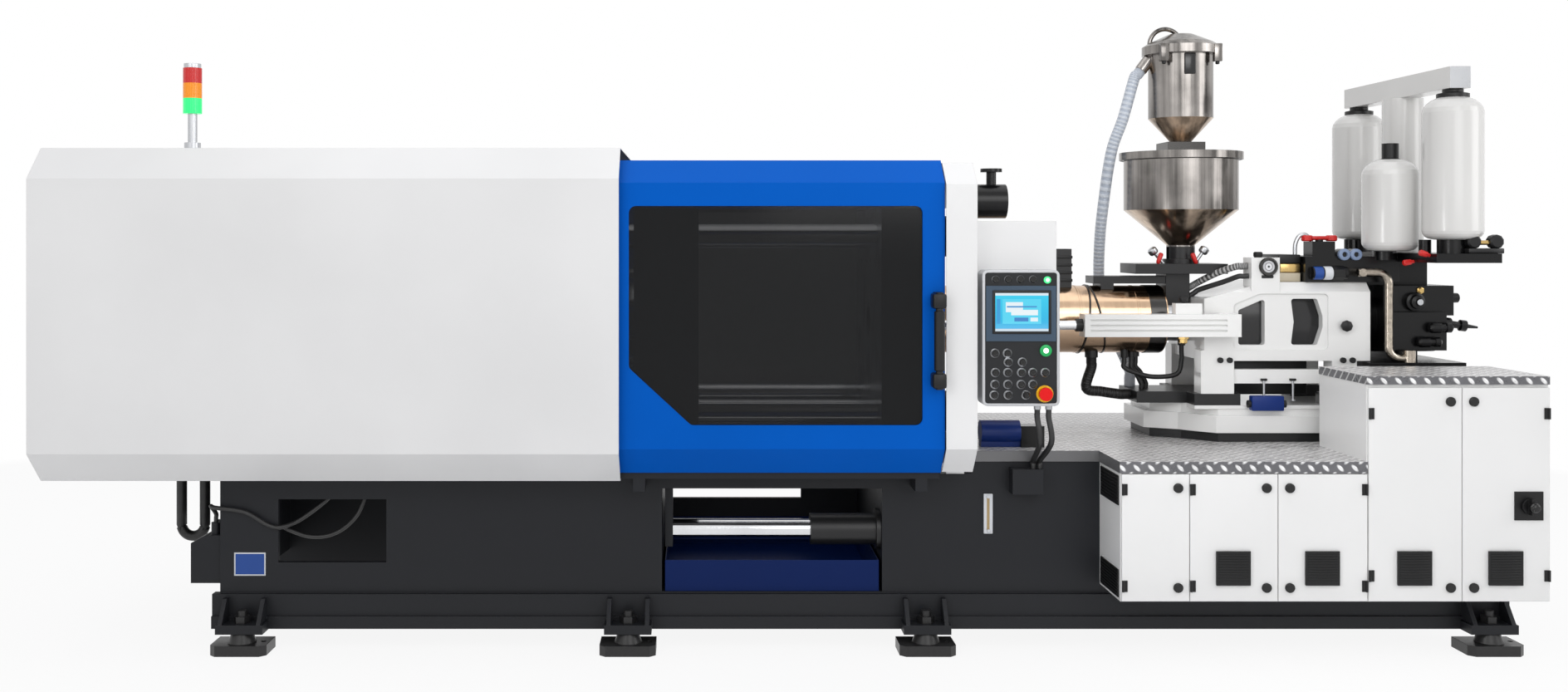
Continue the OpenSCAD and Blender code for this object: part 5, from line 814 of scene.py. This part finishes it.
for name, x, wide, radius, finish, slot, sides in (
    ("cartridge_blue", 2.826, 0.05, 0.0345, plate_blue, "blue_paint", 32),
    ("cartridge_white", 2.88, 0.045, 0.0355, rim_white, "white_paint", 32),
    ("cartridge_nut", 2.93, 0.06, 0.0385, plastic, "black_plastic", 6),
):
    ends = radius - ring_chamfer
    turned(name, (x, cartridge_y, cartridge_z), rightward,
           [(0, ends), (ring_chamfer, radius), (wide - ring_chamfer, radius), (wide, ends)], [finish], "carriage",
           sides=sides)
cream = paint("cream_plate", (0.6, 0.53, 0.4), rough=0.4, peel=0.1, edge=0.2)
for k, (x, wide, low, high, finish) in enumerate((
    (2.668, 0.118, 1.839, 1.888, cream), (2.676, 0.108, 1.89, 1.936, brass), (2.668, 0.118, 1.938, 1.985, plastic),
)):
    block(f"coil_plate_{k + 1}", (x, -0.215, low), (x + wide, 0.05, high), [finish], "carriage",
          edge=0.006)

# Round the shot cylinder: plugs, a lever with a bright tip, red valve caps and the cock under the front bottle
shot_front, tap_front, cock_front = -0.25, -0.318, -0.6
turned("shot_plug", (3.405, shot_front, 1.795), frontward, [(0, 0.02), (0.01, 0.02), (0.012, 0.014), (0.02, 0.014)],
       [brass], "carriage", sides=6)
turned("shot_valve", (3.37, shot_front, 1.735), frontward,
       [(0, 0.05), (0.03, 0.05), (0.034, 0.036), (0.06, 0.036), (0.064, 0.018), (0.08, 0.016)], [gloss_black, steel],
       "carriage", sides=24)
for k, (x, z) in enumerate(((3.42, 1.6), (3.36, 1.525))):
    turned(f"shot_tap_{k + 1}", (x, tap_front, z), rightward,
           [(0, 0.016), (0.012, 0.028), (0.06, 0.028), (0.064, 0.02), (0.085, 0.02), (0.089, 0.026), (0.115, 0.026),
            (0.125, 0.014)], [gloss_black, steel], "carriage", sides=16)
turned("shot_end_plug", (3.585, -0.12, 1.75), rightward,
       [(0, 0.04), (0.04, 0.04), (0.046, 0.028), (0.085, 0.026), (0.09, 0.02)], [gloss_black, steel], "carriage",
       sides=24)
turned("shot_lever", (3.528, -0.22, 1.62), (1, 0, -0.12),
       [(0, 0.034), (0.05, 0.034), (0.054, 0.02), (0.1, 0.018), (0.104, 0.03), (0.135, 0.03), (0.14, 0.012),
        (0.2, 0.006)], [gloss_black, steel], "carriage", sides=20)
for k, (y, z, lean) in enumerate(((-0.62, 1.985, 0.3), (-0.45, 1.952, -0.15))):
    turned(f"valve_cap_{k + 1}", (3.277, y, z), (-1, 0, lean),
           [(0, 0.009), (0.012, 0.009), (0.015, 0.014), (0.05, 0.016), (0.056, 0.011)], [red_handle], "carriage",
           sides=16)
block("cock_body", (3.455, -0.66, 1.995), (3.635, cock_front, 2.022), [black_paint], "carriage",
      edge=0.005)
for k, x in enumerate((3.487, 3.602)):
    turned(f"cock_knob_{k + 1}", (x, cock_front, 2.055), frontward,
           [(0, 0.03), (0.006, 0.036), (0.05, 0.036), (0.058, 0.028)], [plastic], "carriage", sides=10)
turned("cock_stem", (3.515, -0.63, 2.05), rightward, [(0, 0.012), (0.06, 0.012)], [brass], "carriage",
       sides=16)


# Hoses and cables: oil hoses in black rubber, a corrugated loom, and the loader's clear spiral hose.
# Each is crimped into its fittings at both ends and hangs between them along the route of its CAD solid.
# Their ribs follow the hose's length; the valleys are painted darker as shade on the loom, the clear hose and the
# spiral guard, and a touch lighter with dust on the black rubber, and the roughness is speckled with dust.
ribbed, given = new_group("ribbed_hose", [
    ("Color", "Color", (0, 0, 0, 1)), ("Valley Shade and Dust", "Color", (0, 0, 0, 1)), ("Turns", "Float", 60),
    ("Depth", "Float", 0.5), ("Roughness", "Float", 0.5)])
spot = add(ribbed, "TexCoord").outputs
turns = reckon(ribbed, "MULTIPLY", part_of(ribbed, spot["UV"], "X"), given["Turns"])
wave = reckon(ribbed, "SINE", reckon(ribbed, "MULTIPLY", turns, math.tau))
wave = rescale(ribbed, wave, -0.6, 0.6)
dusty = rescale(ribbed, noise(ribbed, spot["Object"], 45, 4), 0, 1, -0.1, 0.15)
rough = reckon(ribbed, "ADD", given["Roughness"], dusty)
ribs = add(ribbed, "Bump", {"Strength": given["Depth"], "Distance": 0.004, "Height": wave}).outputs["Normal"]
end_group(ribbed, mix(ribbed, wave, given["Valley Shade and Dust"], given["Color"]), rough, ribs)


def hose_skin(name, colour, valley_shade_and_dust, turns, depth, rough, **shader):
    values = {"Color": (*colour, 1), "Valley Shade and Dust": (*valley_shade_and_dust, 1), "Turns": turns, "Depth": depth, "Roughness": rough}
    return material(name, ribbed, values, **shader)


rubber = hose_skin("black_rubber", (0.016, 0.016, 0.017), (0.02, 0.02, 0.02), turns=160, depth=0.08, rough=0.42)
corrugated = hose_skin("corrugated_loom", (0.014, 0.014, 0.015), (0.004, 0.004, 0.004), turns=34, depth=1.0, rough=0.4)
clear = hose_skin("clear_spiral_hose", (0.74, 0.79, 0.86), (0.52, 0.58, 0.68), turns=110, depth=0.5, rough=0.18,
                  Alpha=0.82)


def smooth_route(points, steps):
    line = []
    for i in range(len(points) - 1):
        a, b, c, d = (points[min(max(k, 0), len(points) - 1)] for k in (i - 1, i, i + 1, i + 2))
        for s in range(steps):
            t = s / steps
            line.append(tuple(
                0.5 * (2 * q + (r - p) * t + (2 * p - 5 * q + 4 * r - s4) * t * t + (3 * q - p - 3 * r + s4) * t ** 3)
                for p, q, r, s4 in zip(a, b, c, d)))
    return line + [tuple(points[-1])]


def round_curve(name, line, radius, rounds):
    curve = bpy.data.curves.new(name, "CURVE")
    curve.dimensions, curve.bevel_depth, curve.bevel_resolution, curve.use_fill_caps = "3D", radius, rounds, True
    spline = curve.splines.new("POLY")
    spline.points.add(len(line) - 1)
    for point, at in zip(spline.points, line):
        point.co = (*at, 1)
    made = bpy.data.objects.new(name, curve)
    bpy.context.collection.objects.link(made)
    return made


def hose(name, points, finish, node, body="carriage", *, steps, diameter):
    ends = [[(a + b) / 2 for a, b in zip(points[k], points[k + j])] for k, j in ((0, 1), (-1, -1))]
    line = smooth_route([points[0], ends[0], *points[1:-1], ends[1], points[-1]], steps=steps)
    made = round_curve(name, line, radius=diameter / 2, rounds=5)
    made.data.splines[0].use_smooth = True
    made.data.materials.append(finish)
    if node:
        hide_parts(node)
    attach(made, body)


for k, points in enumerate((
    [(1.2217, -0.904, 1.238), (1.2217, -0.904, 1.1974), (1.2397, -0.886, 1.0755), (1.254, -0.67, 0.9536),
     (1.254, -0.67, 0.913)],
    [(1.2775, -0.904, 1.238), (1.2775, -0.904, 1.1974), (1.2955, -0.886, 1.0755), (1.2872, -0.67, 0.9536),
     (1.2872, -0.67, 0.913)],
)):
    hose(f"panel_cable_{k + 1}", points, rubber, "panel_cables", "frame", steps=8, diameter=0.028)
loop_x, loop_z, loop_radius, loop_steps = -3.2015, 0.5035, 0.0635, 16
bend = [(loop_x + loop_radius * math.cos(math.pi * k / loop_steps), 0,
         loop_z - loop_radius * math.sin(math.pi * k / loop_steps)) for k in range(loop_steps, -1, -1)]
hose("clamp_loop", [(-3.265, 0, 1.31), (-3.265, 0, 0.9), *bend, (-3.138, 0, 0.9), (-3.138, 0, 1.31)], rubber,
     "base_hoses", "frame", steps=3, diameter=0.056)
hose("grease_line",
     [(-2.899, -0.554, 0.621), (-2.899, -0.554, 0.665), (-2.91, -0.595, 0.709), (-2.877, -0.636, 0.709),
      (-2.727, -0.636, 0.687), (-2.608, -0.636, 0.621), (-2.542, -0.625, 0.61), (-2.454, -0.562, 0.643),
      (-2.322, -0.532, 0.748), (-2.322, -0.532, 0.848)], rubber, "base_hoses", "frame", steps=6, diameter=0.022)
hose("window_cable",
     [(-2.556, -0.575, 0.604), (-2.52, -0.572, 0.585), (-2.43, -0.565, 0.552), (-2.336, -0.56, 0.551),
      (-2.25, -0.556, 0.586), (-2.18, -0.546, 0.655), (-2.144, -0.535, 0.74), (-2.138, -0.532, 0.848)], rubber, None,
     "frame", steps=6, diameter=0.02)
hose("loader_hose_line",
     [(1.99364, 0, 2.9909), (1.95753, 0, 2.94298), (1.8995, 0.00917, 2.727), (1.842, 0.03667, 2.54),
      (1.815, 0.11, 2.226), (1.815, 0.176, 2.025), (1.827, 0.2288, 1.8275), (1.851, 0.242, 1.63), (1.923, 0.176, 1.47),
      (1.965, 0.11, 1.34), (1.965, 0.11, 1.25)], clear, "loader_hose", steps=6, diameter=0.06)
hose("heater_loom",
     [(1.713, -0.04, 1.423), (1.713, -0.04, 1.367), (1.685, -0.04, 1.255), (1.769, -0.04, 1.236), (1.867, -0.04, 1.222),
      (1.923, -0.04, 1.222)], corrugated, "barrel_hoses", steps=6, diameter=0.056)
hose("bow_hose",
     [(1.883, -0.07, 1.423), (1.883, -0.07, 1.371), (1.935, -0.07, 1.345), (2.039, -0.07, 1.319), (2.169, -0.07, 1.334),
      (2.195, -0.07, 1.412), (2.195, -0.07, 1.49)], rubber, "barrel_hoses", steps=5, diameter=0.026)
for k, (x, y) in enumerate(((1.933, -0.03), (1.973, 0.03))):
    hose(f"oil_hose_{k + 1}",
         [(x, y, 1.423), (x, y, 1.367), (x + 0.028, y, 1.334), (x + 0.056, y, 1.278), (x + 0.056, y, 1.25)], rubber,
         "barrel_hoses", steps=5, diameter=0.028)

# Two short hoses join the throat to the gauge block, one in a bright spiral guard
spiral = hose_skin("spiral_guard", (0.5, 0.5, 0.5), (0.1, 0.1, 0.1), turns=30, depth=1.0, rough=0.3)
hose("gauge_hose",
     [(2.233, -0.06, 1.8), (2.29, -0.07, 1.835), (2.36, -0.15, 1.885), (2.43, -0.23, 1.92), (2.491, -0.24, 1.925)],
     spiral, None, steps=6, diameter=0.036)
hose("throat_hose",
     [(2.233, -0.07, 1.755), (2.29, -0.09, 1.795), (2.39, -0.18, 1.84), (2.44, -0.24, 1.868), (2.491, -0.26, 1.872)],
     rubber, None, steps=6, diameter=0.028)

# A bent steel tube feeds the pilot valve from the manifold
tube_line = smooth_route([(2.76, -0.2, 1.985), (2.762, -0.2, 2.04), (2.782, -0.2, 2.082), (2.812, -0.2, 2.092),
                          (2.842, -0.2, 2.07), (2.848, -0.2, 2.05)], steps=5)
pick(round_curve("pilot_tube", tube_line, radius=0.011, rounds=4))
bpy.ops.object.convert(target="MESH")
settle(bpy.context.object, "pilot_tube", [steel], "carriage")


low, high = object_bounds()
